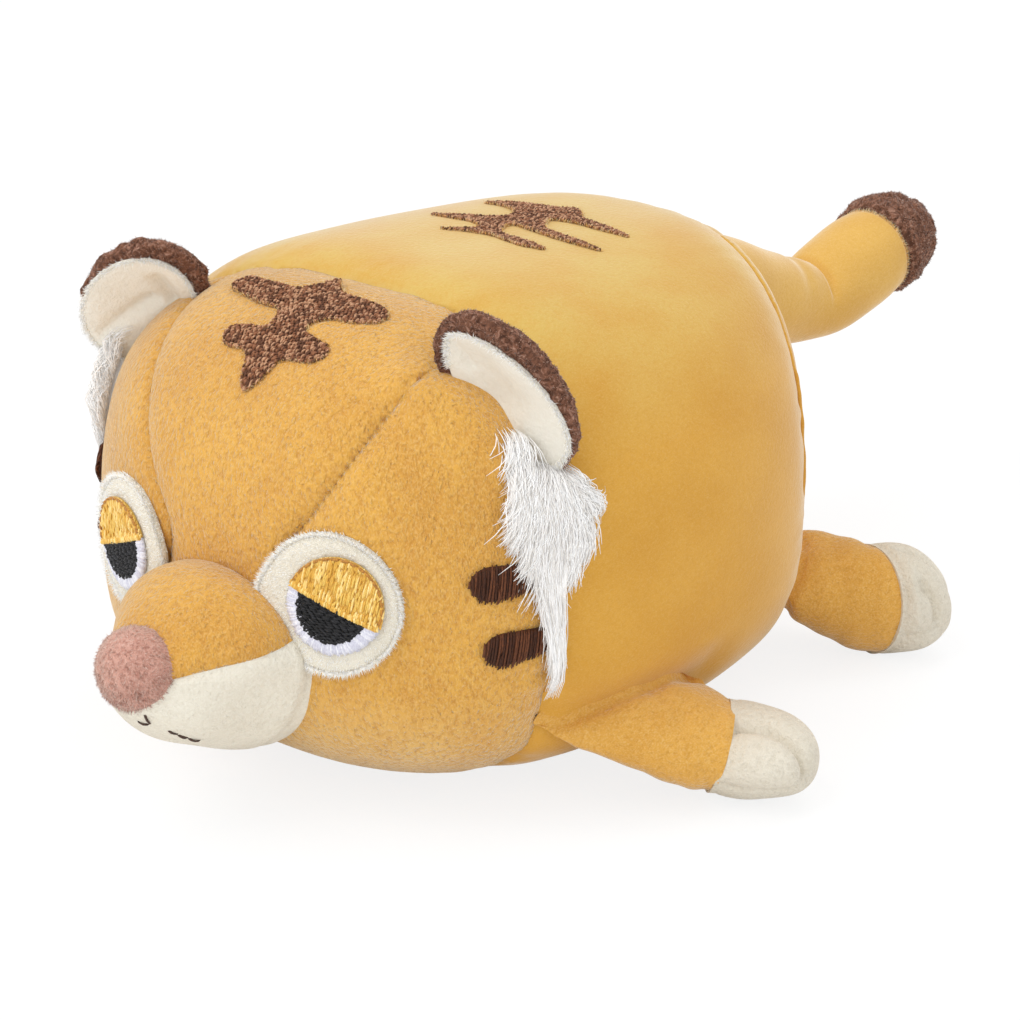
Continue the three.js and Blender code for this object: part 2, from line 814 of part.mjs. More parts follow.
function pawGeometry(leg, run) {
  const seamAxis = new THREE.Vector3().crossVectors(Z, run.ahead);
  const start = run.seam.clone().addScaledVector(run.ahead, fit.gap);
  const rings = [];
  const count = facets.dome + 2;
  for (let i = 0; i < count; i++) {
    const share = Math.sin((Math.PI * i) / (2 * count));
    const size = roundedEnd(share, leg.pawPower);
    const centre = start.clone().addScaledVector(run.ahead, share * leg.pawLength);
    rings.push(legRing(centre, seamAxis, leg.halfWidth * size, leg.halfHeight * size));
  }
  rings.push([start.clone().addScaledVector(run.ahead, leg.pawLength)]);
  return skinOver(rings);
}

function legPieces(leg, rootShares) {
  const run = legRun(leg, rootShares);
  const swing = [-leg.dropDegrees, 0, leg.liftDegrees / 2, leg.liftDegrees];
  const axis = run.rootAxis.clone().negate();
  const sleeve = clearedOf(toSolid(sleeveGeometry(leg, run)), puffedLoaf(fit.gap), run.root, axis, swing);
  return { sleeve: largestBody(sleeve), paw: pawGeometry(leg, run) };
}

// Tail: a tube that falls from the rump, bends, and rises to a dark tip

function tailRun() {
  const root = onRump(tailRootShare);
  const fall = THREE.MathUtils.degToRad(tail.fallDegrees);
  const rise = THREE.MathUtils.degToRad(tail.riseDegrees);
  const out = new THREE.Vector3(0, Math.cos(fall), -Math.sin(fall));
  const on = new THREE.Vector3(0, Math.cos(rise), Math.sin(rise));
  const bend = root.clone().addScaledVector(out, tail.rootRun);
  return { root, out, bend, on };
}

function tubeRing(centre, along, radius) {
  const side = new THREE.Vector3().crossVectors(along, X).normalize();
  const ring = [];
  for (let i = 0; i < facets.limb; i++) {
    const turn = (2 * Math.PI * i) / facets.limb;
    const point = centre.clone();
    point.addScaledVector(X, radius * Math.cos(turn));
    point.addScaledVector(side, radius * Math.sin(turn));
    ring.push(point);
  }
  return ring;
}

function tailRootGeometry() {
  const run = tailRun();
  const rings = [];
  for (let i = -2; i < facets.run; i++) {
    const share = i / facets.run;
    const ease = Math.cos((Math.max(share, 0) * Math.PI) / 2);
    const radius = tail.radius + (tail.rootRadius - tail.radius) * ease ** 2;
    rings.push(tubeRing(run.root.clone().lerp(run.bend, share), run.out, radius));
  }
  for (let i = 0; i < facets.dome; i++) {
    const turn = (Math.PI * i) / (2 * facets.dome);
    const centre = run.bend.clone().addScaledVector(run.out, tail.radius * Math.sin(turn));
    rings.push(tubeRing(centre, run.out, tail.radius * Math.cos(turn)));
  }
  rings.push([run.bend.clone().addScaledVector(run.out, tail.radius)]);
  return skinOver(rings);
}

// The end stretch starts in a socket that seats on the round end of the root stretch.
function tailEndGeometry() {
  const run = tailRun();
  const at = (distance) => run.bend.clone().addScaledVector(run.on, distance);
  const socket = tail.radius + fit.gap;
  const rings = [[at(socket)]];
  const spread = Math.acos(tail.knuckle / socket);
  for (let i = 1; i <= facets.dome; i++) {
    const turn = (spread * i) / facets.dome;
    rings.push(tubeRing(at(socket * Math.cos(turn)), run.on, socket * Math.sin(turn)));
  }
  for (let i = 0; i <= facets.run; i++) {
    const share = i / facets.run;
    const radius = THREE.MathUtils.lerp(tail.radius, tail.tipRadius, share);
    rings.push(tubeRing(at(THREE.MathUtils.lerp(tail.knuckle, tail.endRun, share)), run.on, radius));
  }
  return skinOver(rings);
}

function tailTipGeometry() {
  const run = tailRun();
  const start = run.bend.clone().addScaledVector(run.on, tail.endRun + fit.gap);
  const rings = [];
  const count = facets.dome + 2;
  for (let i = 0; i < count; i++) {
    const share = Math.sin((Math.PI * i) / (2 * count));
    const centre = start.clone().addScaledVector(run.on, share * tail.tipLength);
    rings.push(tubeRing(centre, run.on, tail.tipRadius * roundedEnd(share, tail.tipPower)));
  }
  rings.push([start.clone().addScaledVector(run.on, tail.tipLength)]);
  return skinOver(rings);
}

function tailPieces() {
  const run = tailRun();
  const wag = [-tail.wagDegrees, 0, tail.wagDegrees];
  const root = clearedOf(toSolid(tailRootGeometry()), puffedLoaf(fit.gap), run.root, Z, wag);
  return { root: largestBody(root), end: tailEndGeometry(), tip: tailTipGeometry() };
}

// Assembly

function piece(name, solid, colour, roughness = 0.95) {
  const material = new THREE.MeshStandardMaterial({ color: colour, roughness, metalness: 0 });
  const mesh = new THREE.Mesh(solid.isBufferGeometry ? solid : toGeometry(solid), material);
  mesh.name = name;
  return mesh;
}

const tiger = new THREE.Group();
const panels = coverPanels();
const snoutParts = snoutPieces();
const tailParts = tailPieces();
const foreheadMark = foreheadMarkOutline();
const backMark = backMarkOutline();
const stripes = cheekStripePlaceShares.map(cheekStripeOutline);

tiger.add(
  piece("body_filling", fillingSolid(), colours.filling, 1),
  piece("belly_panel", panels.bellyPanel, colours.coat),
  piece("back_panel", panels.back.subtract(fieldPocket(backMark, topView)), colours.coat),
  piece("forehead_panel", panels.forehead.subtract(fieldPocket(foreheadMark, topView)), colours.face),
  piece("forehead_mark", sunkField(foreheadMark, topView), colours.thread, 0.7),
  piece("back_mark", sunkField(backMark, topView), colours.thread, 0.7),
  piece("snout_bridge", snoutParts.bridge, colours.face),
  piece("muzzle", snoutParts.muzzle, colours.cream),
  piece("nose", noseGeometry(0), colours.pink),
  piece("tail_root", tailParts.root, colours.coat),
  piece("tail_end", tailParts.end, colours.coat),
  piece("tail_tip", tailParts.tip, colours.brown),
);

// The left-hand pieces are made once, and the right-hand group mirrors them.
const cheekPanel = stripes.reduce(
  (panel, outline) => panel.subtract(fieldPocket(outline, sideView)),
  panels.leftCheek,
);
const eyeParts = eyePieces();
const legs = [
  [foreleg, legPieces(foreleg, forelegRootShares)],
  [hindleg, legPieces(hindleg, hindlegRootShares)],
];

for (const [side, sign] of [["left", 1], ["right", -1]]) {
  const half = new THREE.Group();
  half.scale.x = sign;
  const earParts = earPieces(earPoses[side]);
  half.add(
    piece(`cheek_panel_${side}`, cheekPanel, colours.face),
    piece(`eye_patch_${side}`, eyeParts.patch, colours.cream),
    piece(`eye_white_${side}`, eyeParts.white, colours.white, 0.5),
    piece(`pupil_${side}`, eyeParts.pupil, colours.black, 0.5),
    piece(`eyelid_${side}`, eyeParts.lid, colours.gold, 0.5),
    piece(`ear_back_${side}`, earParts.back, colours.brown),
    piece(`ear_lining_${side}`, earParts.lining, colours.cream),
    piece(`cheek_tuft_${side}`, tuftSolid(earPoses[side]), colours.white),
  );
  stripes.forEach((outline, i) => {
    const name = `cheek_stripe_${["upper", "lower"][i]}_${side}`;
    half.add(piece(name, sunkField(outline, sideView), colours.darkThread, 0.6));
  });
  for (const [leg, parts] of legs) {
    half.add(piece(`${leg.name}_${side}`, parts.sleeve, colours.coat));
    half.add(piece(`${leg.name}_paw_${side}`, parts.paw, colours.cream));
  }
  tiger.add(half);
}

export default tiger;
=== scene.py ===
# A stuffed toy tiger lying on its belly
# A loaf of sewn plush panels round loose filling carries a snout, sleepy stitched eyes, folding
# ears, fur tufts, four splayed legs and a bent tail. Sizes are in millimetres, times mm.
from math import radians

import bpy
import numpy as np
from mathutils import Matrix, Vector
from mathutils.geometry import delaunay_2d_cdt


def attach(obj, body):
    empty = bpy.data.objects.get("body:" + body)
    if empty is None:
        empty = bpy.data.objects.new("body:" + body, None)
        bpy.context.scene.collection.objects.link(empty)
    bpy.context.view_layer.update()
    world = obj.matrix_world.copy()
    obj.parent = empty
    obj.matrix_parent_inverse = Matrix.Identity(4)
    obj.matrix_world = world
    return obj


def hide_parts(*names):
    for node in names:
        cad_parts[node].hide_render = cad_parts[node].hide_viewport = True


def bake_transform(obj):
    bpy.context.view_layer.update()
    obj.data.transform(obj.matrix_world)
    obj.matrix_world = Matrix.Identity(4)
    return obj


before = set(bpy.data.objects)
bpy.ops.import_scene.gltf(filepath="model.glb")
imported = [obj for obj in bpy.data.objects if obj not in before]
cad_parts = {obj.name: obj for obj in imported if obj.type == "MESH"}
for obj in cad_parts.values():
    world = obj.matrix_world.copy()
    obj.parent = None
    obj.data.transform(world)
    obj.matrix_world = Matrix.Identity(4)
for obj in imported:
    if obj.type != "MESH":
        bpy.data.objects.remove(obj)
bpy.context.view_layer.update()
mm = 0.001


# Camera
# A long lens a little above the toy, in front of its left cheek, as in the photograph.

lens = bpy.data.cameras.new("photo_camera")
lens.lens = 126.19
camera_turn = 39.12
camera_dip = 21.5
camera_distance = 700
aim = Vector((0, 15.785, 32.544))

camera = bpy.data.objects.new("photo_camera", lens)
camera.rotation_euler = (radians(90 - camera_dip), 0, radians(camera_turn))
away = camera.rotation_euler.to_matrix() @ Vector((0, 0, camera_distance))
camera.location = (aim + away) * mm
bpy.context.collection.objects.link(camera)
bpy.context.scene.camera = camera
bpy.context.scene.view_settings.view_transform = "Standard"


# Floor, lamps and backdrop
# A white sweep under wide soft lamps, as in a product picture. The floor shows white to the
# camera and keeps a faint shadow of the toy.

floor_half = 4000
floor_shadow_share = 0.2
floor_paper = (0.9, 0.9, 0.9, 1)
floor_glow = 1.04
backdrop_white = (1, 1, 1, 1)
room_light = 0.7


def tint(code):
    """The linear colour of a hex code."""
    shares = np.array([int(code[i:i + 2], 16) / 255 for i in (1, 3, 5)])
    return (*np.where(shares > 0.04045, ((shares + 0.055) / 1.055) ** 2.4, shares / 12.92), 1)


def feed(tree, node, inputs):
    """Fills inputs of a node: a socket is linked, a hex code or any other value is written."""
    for name, given in inputs.items():
        if isinstance(given, bpy.types.NodeSocket):
            tree.links.new(given, node.inputs[name])
        else:
            node.inputs[name].default_value = tint(given) if isinstance(given, str) else given
    return node


def added(tree, kind, inputs=None):
    """A new node with its inputs filled."""
    return feed(tree, tree.nodes.new(f"ShaderNode{kind}"), inputs or {})


floor_mesh = bpy.data.meshes.new("floor")
corners = [(-1, -1, 0), (1, -1, 0), (1, 1, 0), (-1, 1, 0)]
floor_mesh.from_pydata([tuple(Vector(c) * floor_half * mm) for c in corners], [], [(0, 1, 2, 3)])
floor = bpy.data.objects.new("floor", floor_mesh)
bpy.context.collection.objects.link(floor)

floor_finish = bpy.data.materials.new("white_floor")
floor_finish.use_nodes = True
tree = floor_finish.node_tree
tree.nodes.clear()
rays = added(tree, "LightPath").outputs
paper = added(tree, "BsdfDiffuse", {"Color": floor_paper})
glow = added(tree, "Emission", {"Color": backdrop_white, "Strength": floor_glow})
share = added(tree, "Math", {0: rays["Is Camera Ray"], 1: 1 - floor_shadow_share})
share.operation = "MULTIPLY"
mix = added(tree, "MixShader", {0: share.outputs[0], 1: paper.outputs[0], 2: glow.outputs[0]})
added(tree, "OutputMaterial", {"Surface": mix.outputs[0]})
floor_mesh.materials.append(floor_finish)

world = bpy.data.worlds.new("studio")
world.use_nodes = True
bpy.context.scene.world = world
tree = world.node_tree
rays = added(tree, "LightPath").outputs
seen = rays["Is Camera Ray"]
for other in ("Is Glossy Ray", "Is Transmission Ray"):
    either = added(tree, "Math", {0: seen, 1: rays[other]})
    either.operation = "MAXIMUM"
    seen = either.outputs[0]
strength = added(tree, "MapRange", {"Value": seen, "To Min": room_light, "To Max": 1})
backdrop = {"Color": backdrop_white, "Strength": strength.outputs[0]}
feed(tree, tree.nodes["Background"], backdrop)

lamps = {
    "key_lamp": ((-250, -500, 950), 700, 4.8),
    "side_lamp": ((900, -350, 520), 600, 1.4),
    "front_lamp": ((-100, -1000, 380), 600, 1.2),
    "top_lamp": ((60, 420, 1000), 600, 2),
    "rim_lamp": ((-560, 820, 420), 500, 0.9),
}
for lamp_name, (place, width, power) in lamps.items():
    lamp_data = bpy.data.lights.new(lamp_name, "AREA")
    lamp_data.size = width * mm
    lamp_data.energy = power
    lamp = bpy.data.objects.new(lamp_name, lamp_data)
    lamp.location = Vector(place) * mm
    lamp.rotation_euler = (Vector(place) - aim).to_track_quat("Z", "Y").to_euler()
    bpy.context.collection.objects.link(lamp)


# Cover of the body
# Short-pile plush panels, sewn together inside out, turned and stuffed to a loaf that lies flat
# on its belly. Each seam pulls the pile down to a soft valley with small puckers beside it.

half_width = 60
face_length = 66.8
rump_length = 73.4
body_height = 92.1
girth_height = 36.1
flat_depth = 0.5
lean_share = 0.112
section_power = 2.78
plan_powers = (2.52, 2.21)
side_powers = (2.96, 7.09)
loaf_middle = np.array([0, 3.3, 41])
belly_half_width = 40
belly_half_length = 52
belly_rise = 14
cover_thickness = 2
loaf_squares = 100

rump_seam_back = 65.4
rump_seam_sweep = 17
rump_seam_level = 41
limb_roots = [
    ((52.4, -36.7, 21.6), (56.9, 3.6, 18)),
    ((47.3, 44, 16.6), (27.3, 66, 16.6)),
]
left_ear_base = ((30, -46.5, 82), (47, -42, 70))
tail_place = np.array([0, 73.2, 63.5])
head_seam_heights = np.array([-18, 0, 24.9, 49.7, 70, 91.2, 110])
head_seam_places = np.array([-35.4, -35.4, -38.4, -38.1, -32.7, -26, -24.7])
forehead_heights = np.array([27.6, 38.7, 49.7, 62.6, 70.9, 84.3, 110])
forehead_half_widths = np.array([12, 16.2, 12, 21, 25.2, 30.6, 37.2])
forehead_low = 30
weld_reach = 0.004


def rounded_end(share, power):
    """How wide a rounded end is, from 1 in the middle of the body to 0 at its end."""
    return np.clip(1 - np.abs(share) ** power, 0, None) ** (1 / power)


def loaf_value(points):
    """Below zero inside the loaf, zero on its surface and above zero outside."""
    x, y, z = points.T
    share = np.where(y < 0, y / face_length, y / rump_length)
    plan = np.where(y < 0, rounded_end(share, plan_powers[0]), rounded_end(share, plan_powers[1]))
    side = np.where(y < 0, rounded_end(share, side_powers[0]), rounded_end(share, side_powers[1]))
    lean = 1 - lean_share * y / (face_length + rump_length)
    height = (z + flat_depth) / lean - girth_height
    room = np.where(height > 0, body_height - girth_height, girth_height)
    across = np.abs(x) / np.maximum(half_width * plan, 1e-6)
    up = np.abs(height) / np.maximum(room * side, 1e-6)
    return across ** section_power + up ** section_power - 1


def onto_loaf(outside, inside):
    """The points where lines from outside to inside meet the loaf, no lower than the floor."""
    far, near = np.broadcast_arrays(outside, inside)
    far, near = far.astype(float), near.astype(float)
    for _ in range(34):
        middle = (far + near) / 2
        out = (loaf_value(middle) > 0)[:, None]
        far = np.where(out, middle, far)
        near = np.where(out, near, middle)
    near[:, 2] = np.maximum(near[:, 2], 0)
    return near


def loaf_slope(points, step=0.05):
    """How fast the loaf value rises along each axis."""
    rises = [loaf_value(points + way) - loaf_value(points - way) for way in np.eye(3) * step]
    return np.stack(rises, 1) / (2 * step)


def unit(vectors):
    """The same directions at length 1."""
    return vectors / np.maximum(np.linalg.norm(vectors, axis=-1, keepdims=True), 1e-12)


def loaf_normal(points):
    """Directions that point straight out of the loaf."""
    return unit(loaf_slope(points))


def loaf_gap(points):
    """About how far points lie outside the loaf, in millimetres."""
    slope = np.linalg.norm(loaf_slope(points), axis=1)
    return loaf_value(points) / np.maximum(slope, 1e-4)


def ball_grid(count):
    """Directions spread over a ball, from a grid on each side of a box, and the squares."""
    steps = np.tan(np.linspace(-1, 1, count + 1) * np.pi / 4)
    across, along = np.meshgrid(steps, steps, indexing="ij")
    side = np.stack([across.ravel(), along.ravel(), np.ones(across.size)], 1)
    first = (np.arange(count)[:, None] * (count + 1) + np.arange(count)).ravel()
    square = np.stack([first, first + count + 1, first + count + 2, first + 1], 1)
    points = []
    squares = []
    for turn in range(3):
        for sign in (1, -1):
            squares.append((square if sign > 0 else square[:, ::-1]) + len(points) * len(side))
            points.append(np.roll(side, turn, axis=1) * sign)
    points, place = np.unique(np.concatenate(points).round(7), axis=0, return_inverse=True)
    return unit(points), place.ravel()[np.concatenate(squares)]


def split_squares(squares):
    """Two triangles for each square."""
    return np.concatenate([squares[:, [0, 1, 2]], squares[:, [0, 2, 3]]])


def point_normals(points, triangles):
    """The smooth normal at each point of a mesh."""
    a, b, c = (points[triangles[:, i]] for i in range(3))
    face = np.cross(b - a, c - a)
    total = np.zeros_like(points)
    for i in range(3):
        np.add.at(total, triangles[:, i], face)
    return unit(total)


def cut(points, triangles, level):
    """The part of a mesh where level, one number for each point, is above zero.

    Points closer than the weld reach become one.
    """
    inside = level > 0
    count = inside[triangles].sum(1)
    kept = [triangles[count == 3]]
    table = [points]
    total = len(points)
    for wanted in (1, 2):
        some = triangles[count == wanted]
        odd = inside[some] == (wanted == 1)
        turn = odd.argmax(1)
        order = (turn[:, None] + np.arange(3)) % 3
        a, b, c = np.take_along_axis(some, order, 1).T
        fresh = []
        for start, end in ((a, b), (a, c)):
            part = (level[start] / (level[start] - level[end]))[:, None]
            table.append(points[start] * (1 - part) + points[end] * part)
            fresh.append(np.arange(len(start)) + total)
            total += len(start)
        ab, ac = fresh
        if wanted == 1:
            kept.append(np.stack([a, ab, ac], 1))
        else:
            kept.append(np.stack([ab, b, c], 1))
            kept.append(np.stack([ab, c, ac], 1))
    points = np.concatenate(table)
    triangles = np.concatenate(kept)
    near = (points[:, :3] / weld_reach).round().astype(np.int64)
    _, first, place = np.unique(near, axis=0, return_index=True, return_inverse=True)
    triangles = place.ravel()[triangles]
    points = points[first]
    whole = (triangles != np.roll(triangles, 1, axis=1)).all(1)
    used, triangles = np.unique(triangles[whole], return_inverse=True)
    return points[used], triangles.reshape(-1, 3)


def eased(at, heights, places, reach=8):
    """A seam's place at a height, with the corners of its line eased."""
    steps = np.linspace(-reach, reach, 5)
    return np.mean([np.interp(at + step, heights, places) for step in steps], axis=0)


def ahead_of_head_seam(points):
    return eased(points[:, 2], head_seam_heights, head_seam_places) - points[:, 1]


def inside_forehead(points):
    return eased(points[:, 2], forehead_heights, forehead_half_widths, 4) - np.abs(points[:, 0])


def inside_belly(points):
    share = np.hypot(points[:, 0] / belly_half_width, points[:, 1] / belly_half_length)
    under = (1 - share) * (belly_half_width + belly_half_length) / 2
    return np.minimum(under, belly_rise - points[:, 2])


def rise(value, start, end):
    """Smoothly from 0 at start to 1 at end."""
    share = np.clip((value - start) / (end - start), 0, 1)
    return share * share * (3 - 2 * share)


def valley(distance, depth, width):
    return depth * np.exp(-(distance / width) ** 2)


def seam_dent(distance, depth, width, wide_depth, wide_width):
    """A seam pulled into the pile: a narrow valley in the middle of a wide soft one."""
    return valley(distance, depth, width) + valley(distance, wide_depth, wide_width)


def unevenness(points, size, seed):
    """A gentle wandering between -1 and 1, with lumps of about this size."""
    draw = np.random.default_rng(seed)
    total = np.zeros(len(points))
    for _ in range(7):
        direction = unit(draw.normal(size=3))
        wave = 2 * np.pi / (size * draw.uniform(0.7, 1.5))
        total += np.sin(points @ direction * wave + draw.uniform(0, 6.3))
    return total / 4


def from_rump_seam(points):
    """How far points lie behind the seam that rounds the rump."""
    around = np.arctan2(np.abs(points[:, 0]), points[:, 2] - rump_seam_level)
    return points[:, 1] - rump_seam_back + rump_seam_sweep * np.sin(around)


def from_line(points, start, end):
    """How far points lie from the line between two others."""
    start = np.array(start)
    line = np.array(end) - start
    part = np.clip(((points - start) @ line) / (line @ line), 0, 1)
    return np.linalg.norm(points - start - part[:, None] * line, axis=1)


def cover_depth(points):
    """How far the stuffed cover lies inside the plain loaf."""
    seam = ahead_of_head_seam(points)
    brow = inside_forehead(points)
    under = inside_belly(points)
    on_head = rise(seam, -1, 5)
    on_top = rise(points[:, 2], 40, 84)
    chin = np.abs(points[:, 0]) + 60 * (1 - rise(seam, 0, 3)) + 60 * rise(points[:, 2], 16, 30)
    depth = seam_dent(seam, 0.8, 0.9, 0.7, 4) + on_top * valley(seam - 1, 1.2, 9)
    on_brow = on_head * rise(points[:, 2], forehead_low, forehead_low + 10)
    depth += on_brow * seam_dent(brow, 1, 0.7, 0.7, 3.5)
    depth += seam_dent(under, 0.7, 0.9, 0.5, 4) + valley(chin, 0.7, 0.9)
    around = np.arctan2(points[:, 2] - forehead_low, np.abs(points[:, 0])) * 50
    pucker = np.sin(around * 0.9 + 2 * np.sin(around * 0.23)) * unevenness(points, 17, 5)
    depth += 0.35 * pucker * np.exp(-np.abs(seam) / 5)
    rump = from_rump_seam(points)
    depth += valley(rump - 1.5, 0.5, 1.6) + valley(rump, 0.5, 6)
    depth += 0.3 * pucker * np.exp(-np.abs(rump) / 6)
    halved = np.column_stack([np.abs(points[:, 0]), points[:, 1:]])
    for start, end in limb_roots:
        near = from_line(halved, start, end)
        depth += valley(near, 1.6, 6) + 0.2 * pucker * np.exp(-near / 7)
    depth -= valley(from_line(points, *left_ear_base), 2.6, 6)
    depth += valley(np.linalg.norm(points - tail_place, axis=1) - 13.5, 1, 4)
    depth += 0.2 * (1 + unevenness(points, 34, 11))
    return depth


def ball_on_loaf(count):
    """Points spread over the loaf, the squares between them and their normals."""
    ways, squares = ball_grid(count)
    outside = loaf_middle + ways * [half_width, face_length, body_height / 2] * 3
    points = onto_loaf(outside, loaf_middle)
    return points, squares, point_normals(points, split_squares(squares))


loaf_points, loaf_quads, loaf_out = ball_on_loaf(loaf_squares)
loaf_triangles = split_squares(loaf_quads)
sunk = cover_depth(loaf_points) * rise(loaf_points[:, 2], 0, 3)
cover_points = loaf_points - loaf_out * sunk[:, None]
cover_table = np.concatenate([cover_points, loaf_points], 1)


def make_piece(name, points, faces, finish, slot, body, replaced=()):
    """A smooth mesh piece of the toy, with its finish and its body. The slot is not used."""
    mesh = bpy.data.meshes.new(name)
    mesh.from_pydata((np.asarray(points) * mm).tolist(), [], [list(face) for face in faces])
    mesh.shade_smooth()
    mesh.materials.append(finish)
    piece = bpy.data.objects.new(name, mesh)
    bpy.context.collection.objects.link(piece)
    if body:
        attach(piece, body)
    if replaced:
        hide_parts(*replaced)
    return piece


def thicken(piece, thickness):
    """Gives a sewn panel the thickness of its cloth, on the inner side."""
    cloth = piece.modifiers.new("cloth", "SOLIDIFY")
    cloth.thickness = thickness * mm
    cloth.offset = -1
    return piece


def new_finish(name, values):
    """A finish, its nodes, and its shader with these values on its own sockets."""
    finish = bpy.data.materials.new(name)
    finish.use_nodes = True
    tree = finish.node_tree
    return finish, tree, feed(tree, tree.nodes["Principled BSDF"], values)


def grain(tree, size, detail, stretch=(1, 1, 1), distortion=0):
    """A noise of this grain size on the piece itself, drawn out along its nap."""
    place = added(tree, "TexCoord").outputs["Object"]
    drawn = added(tree, "Mapping", {"Vector": place, "Scale": stretch}).outputs["Vector"]
    noise = {"Vector": drawn, "Scale": 1 / (size * mm), "Detail": detail, "Distortion": distortion}
    return added(tree, "TexNoise", noise).outputs["Fac"]


def mixed(tree, factor, low, high, first, second, most=1):
    """One colour where a factor is low, and at most this share of another where it is high."""
    span = {"Value": factor, "From Min": low, "From Max": high, "To Max": most}
    mix = tree.nodes.new("ShaderNodeMix")
    mix.data_type = "RGBA"
    share = added(tree, "MapRange", span).outputs["Result"]
    return feed(tree, mix, {"Factor": share, "A": first, "B": second}).outputs["Result"]


def raised(tree, heights):
    """Bumps from pairs of a height and its depth in millimetres, one on top of the other."""
    below = {}
    for height, depth in heights:
        bump = added(tree, "Bump", {"Height": height, "Distance": depth * mm, **below})
        below = {"Normal": bump.outputs["Normal"]}
    return below["Normal"]


plush_values = {
    "Roughness": 0.92,
    "Specular IOR Level": 0.15,
    "Sheen Weight": 1,
    "Sheen Roughness": 0.32,
    "Sheen Tint": "#fff6e6",
}
brushed_size = 14


def plush(name, tones, grain_size, relief, contrast, stretch=(1, 1, 1), painted_light=None):
    """Short plush pile: brushed patches, grain between the tufts with painted shade in its hollows,
    pale tips that are painted highlights, and a soft sheen.

    A paler tone of painted light takes over between two heights, where more light falls.
    """
    tone, shade, tip = tones
    finish, tree, shader = new_finish(name, plush_values)
    brushed = grain(tree, brushed_size, 3, stretch)
    tufts = grain(tree, grain_size, 3, stretch)
    hairs = grain(tree, grain_size / 2.6, 2, stretch)
    # Painted light: a paler tone between two heights.
    if painted_light:
        painted_light_tone, start, end = painted_light
        place = added(tree, "TexCoord").outputs["Object"]
        height = added(tree, "SeparateXYZ", {"Vector": place}).outputs["Z"]
        tone = mixed(tree, height, start * mm, end * mm, tone, painted_light_tone)
    colour = mixed(tree, brushed, 0.4, 0.7, tone, shade, 0.6)
    # Painted shade where the tufts dip in the relief, and painted highlights on the hair tips.
    colour = mixed(tree, tufts, 0.55, 0.33, colour, shade, 0.8 * contrast)
    colour = mixed(tree, hairs, 0.45, 0.8, colour, tip, 0.6 * contrast)
    pile = raised(tree, [(tufts, relief), (hairs, relief / 3)])
    feed(tree, shader, {"Base Color": colour, "Normal": pile})
    return finish


coat_tones = ("#d8a244", "#ca9134", "#f0d498")
# Painted highlight: the top of the back, 66 to 88 mm up, is paler where light falls on it.
back_top_highlight = ("#cfae5e", 66, 88)
coat_plush = plush(
    "coat_plush", coat_tones, grain_size=0.6, relief=0.1, contrast=0.35, stretch=(1, 0.6, 1),
    painted_light=back_top_highlight,
)
face_tones = ("#e2ab50", "#ca8f42", "#f4d08c")
# Painted light: the face below 30 mm up grows paler, for light thrown up from the floor.
chin_bounce_light = ("#e9be74", 30, 12)
face_plush = plush(
    "face_plush", face_tones, grain_size=0.8, relief=0.8, contrast=0.9, stretch=(1, 1, 0.6),
    painted_light=chin_bounce_light,
)

head_level = ahead_of_head_seam(loaf_points)
upper_level = -inside_belly(loaf_points)
brow_level = inside_forehead(loaf_points)


def cover_panel(name, levels, finish, slot):
    """One panel of the cover: the part of the loaf inside all of its seams."""
    table = np.column_stack([cover_table, *levels])
    triangles = loaf_triangles
    for column in range(cover_table.shape[1], table.shape[1]):
        table, triangles = cut(table, triangles, table[:, column])
    piece = make_piece(name, table[:, :3], triangles, finish, slot, "torso", [name])
    thicken(piece, cover_thickness)
    return piece


on_left = loaf_points[:, 0]
above_cheeks = loaf_points[:, 2] - forehead_low
cheeks = [head_level, upper_level, np.maximum(-brow_level, -above_cheeks)]
forehead = [head_level, upper_level, brow_level, above_cheeks]
cover_panel("belly_panel", [-upper_level], coat_plush, "coat_plush")
cover_panel("back_panel", [-head_level, upper_level], coat_plush, "coat_plush")
cover_panel("forehead_panel", forehead, face_plush, "face_plush")
cover_panel("cheek_panel_left", [*cheeks, on_left], face_plush, "face_plush")
cover_panel("cheek_panel_right", [*cheeks, -on_left], face_plush, "face_plush")


# Filling
# Loose polyester fibre that fills the cover. It is a lumpy mass a little smaller than the cover
# and never shows unless a seam opens.

filling_inset = 3
filling_lump = 1.2
filling_squares = 24

fibre, tree, shader = new_finish("filling", {"Roughness": 1})
clumps = grain(tree, 6, 6)
fibre_tone = mixed(tree, clumps, 0.3, 0.7, "#e4e1d8", "#fbfaf5")
feed(tree, shader, {"Base Color": fibre_tone, "Normal": raised(tree, [(clumps, 1)])})

filling_points, filling_quads, filling_out = ball_on_loaf(filling_squares)
lumps = filling_inset + filling_lump * (1 + unevenness(filling_points, 22, 3))
filling_points = filling_points - filling_out * lumps[:, None]
filling_points[:, 2] = np.maximum(filling_points[:, 2], filling_inset)
filling = make_piece(
    "body_filling", filling_points, filling_quads, fibre, "filling", "torso", ["body_filling"]
)


# Stitched marks on the brow and the back
# Dense fills of short matt stitches in brown thread, worked through the pile before the panels
# were sewn. They lie a little below the pile, which stands up round their edges.

mark_reach = 20
brow_mark_start = -58.5
brow_mark_length = 27
back_mark_start = 3.8
back_mark_length = 33.6
mark_spacing = 0.32
mark_stitch = 0.95
mark_thread_radius = 0.185
triangle_rise = 0.87

